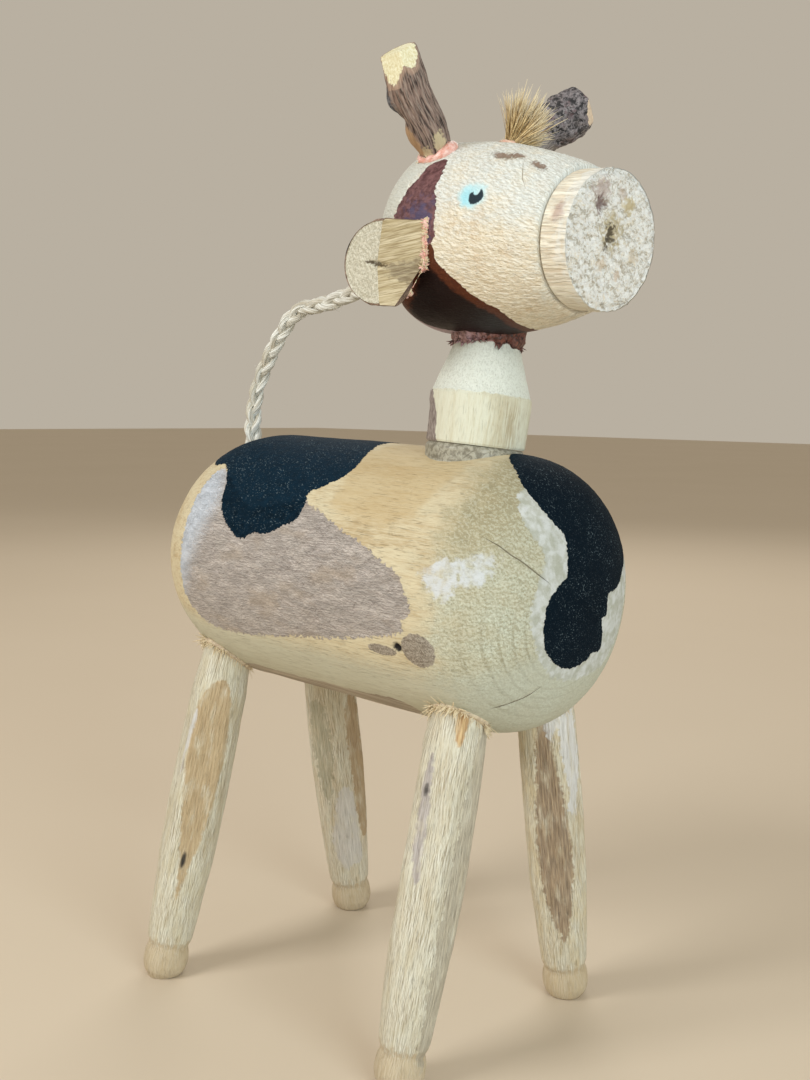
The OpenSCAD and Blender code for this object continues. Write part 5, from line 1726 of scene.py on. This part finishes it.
def floor():
    s = Shader("floor")
    place = s.add("ShaderNodeTexCoord", {}).outputs["Object"]
    cloud = s.noise(place, 0.3, 3.0)
    colour = s.mix(cloud, (0.62, 0.53, 0.41), (0.66, 0.57, 0.45))
    material = s.done(colour, 0.7, cloud, 0.01, 0.3)
    mesh = bpy.data.meshes.new("floor")
    half = 6.0
    mesh.from_pydata([(-half, -half, 0), (half, -half, 0), (half, half, 0), (-half, half, 0)],
                     [], [(0, 1, 2, 3)])
    mesh.materials.append(material)
    plane = bpy.data.objects.new("floor", mesh)
    bpy.context.scene.collection.objects.link(plane)


def lamp(name, place, size, power, colour):
    """A square soft light that looks at the figure's middle."""
    data = bpy.data.lights.new(name, "AREA")
    data.size = size
    data.energy = power
    data.color = colour
    holder = bpy.data.objects.new(name, data)
    bpy.context.scene.collection.objects.link(holder)
    z = unit(np.array(place) - [0, 0, 0.13])
    x = unit(np.cross([0, 0, 1], z))
    matrix = np.eye(4)
    matrix[:3, 0], matrix[:3, 1], matrix[:3, 2], matrix[:3, 3] = x, np.cross(z, x), z, place
    holder.matrix_world = Matrix(matrix.tolist())


def light():
    world = bpy.data.worlds.new("studio")
    world.use_nodes = True
    sky = world.node_tree.nodes["Background"]
    sky.inputs[0].default_value = (0.57, 0.51, 0.42, 1)
    sky.inputs[1].default_value = 0.85
    bpy.context.scene.world = world
    lamp("key", (-0.30, -0.86, 0.66), 0.4, 6.2, (1.0, 0.99, 0.97))
    lamp("front", (0.86, -0.30, 0.34), 0.5, 5.2, (0.82, 0.94, 1.0))
    lamp("back", (-0.5, 0.8, 0.8), 0.7, 3.0, (1.0, 0.97, 0.93))
    bpy.context.scene.view_settings.view_transform = "Standard"


# ------------------------------------------------------------------ the figure

camera()

MATERIALS = {
    "rope": rope_fibre(),
    "ear_wood": ear_wood(),
    "leg_glue": glue("leg_glue", (0.62, 0.53, 0.38), (0.44, 0.34, 0.24), 0.6),
    "pink_glue": glue("pink_glue", (0.72, 0.33, 0.26), (0.84, 0.56, 0.50), 0.35, 0.3),
    "pale_glue": glue("pale_glue", (0.80, 0.60, 0.46), (0.74, 0.44, 0.34), 0.5),
    "seat_glue": glue("seat_glue", (0.19, 0.175, 0.13), (0.40, 0.385, 0.31), 0.4, 0.2, 1.1),
}

rope, rope_path, rope_length = tail()
knot = tail_end()

body()
for leg_name, facts in LEGS.items():
    leg(leg_name, **facts)
    leg_glue(leg_name, **facts)
neck()
neck_glue()
head_glue()
head()
snout()
right_horn()
left_horn()
horn_glue("right_horn_bead", RIGHT_HORN, "right_horn_glue", 4.2, 50, 60, 120)
horn_glue("left_horn_bead", LEFT_HORN, "left_horn_glue", 3.8, -150, 20, 124)
ear(-1, "split_right_ear", "right_ear", 130)
ear(1, "split_left_ear", "left_ear", 140)
ear_glue(-1, "right_ear_bead", "right_ear_glue", 150)
ear_glue(1, "left_ear_bead", "left_ear_glue", 160)
forelock()
round_glue("forelock_bead", "forelock_glue",
           Place(HEAD.out(FORELOCK_ROOT), HEAD.turn([0.15, 0.25, 1]), SIDE_HINT), 1.7, off_head,
           0.6, "pale_glue", 26, 170)
round_glue("tail_bead", "tail_glue", Place(TAIL_EXIT, [0, 0, 1], SIDE_HINT), 2.5, off_body,
           0.7, "leg_glue", 0, 180)

hidden = dowel_wood()
for node_name in ("neck_dowel", "head_dowel"):
    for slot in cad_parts[node_name].material_slots:
        slot.material = hidden

floor()
light()
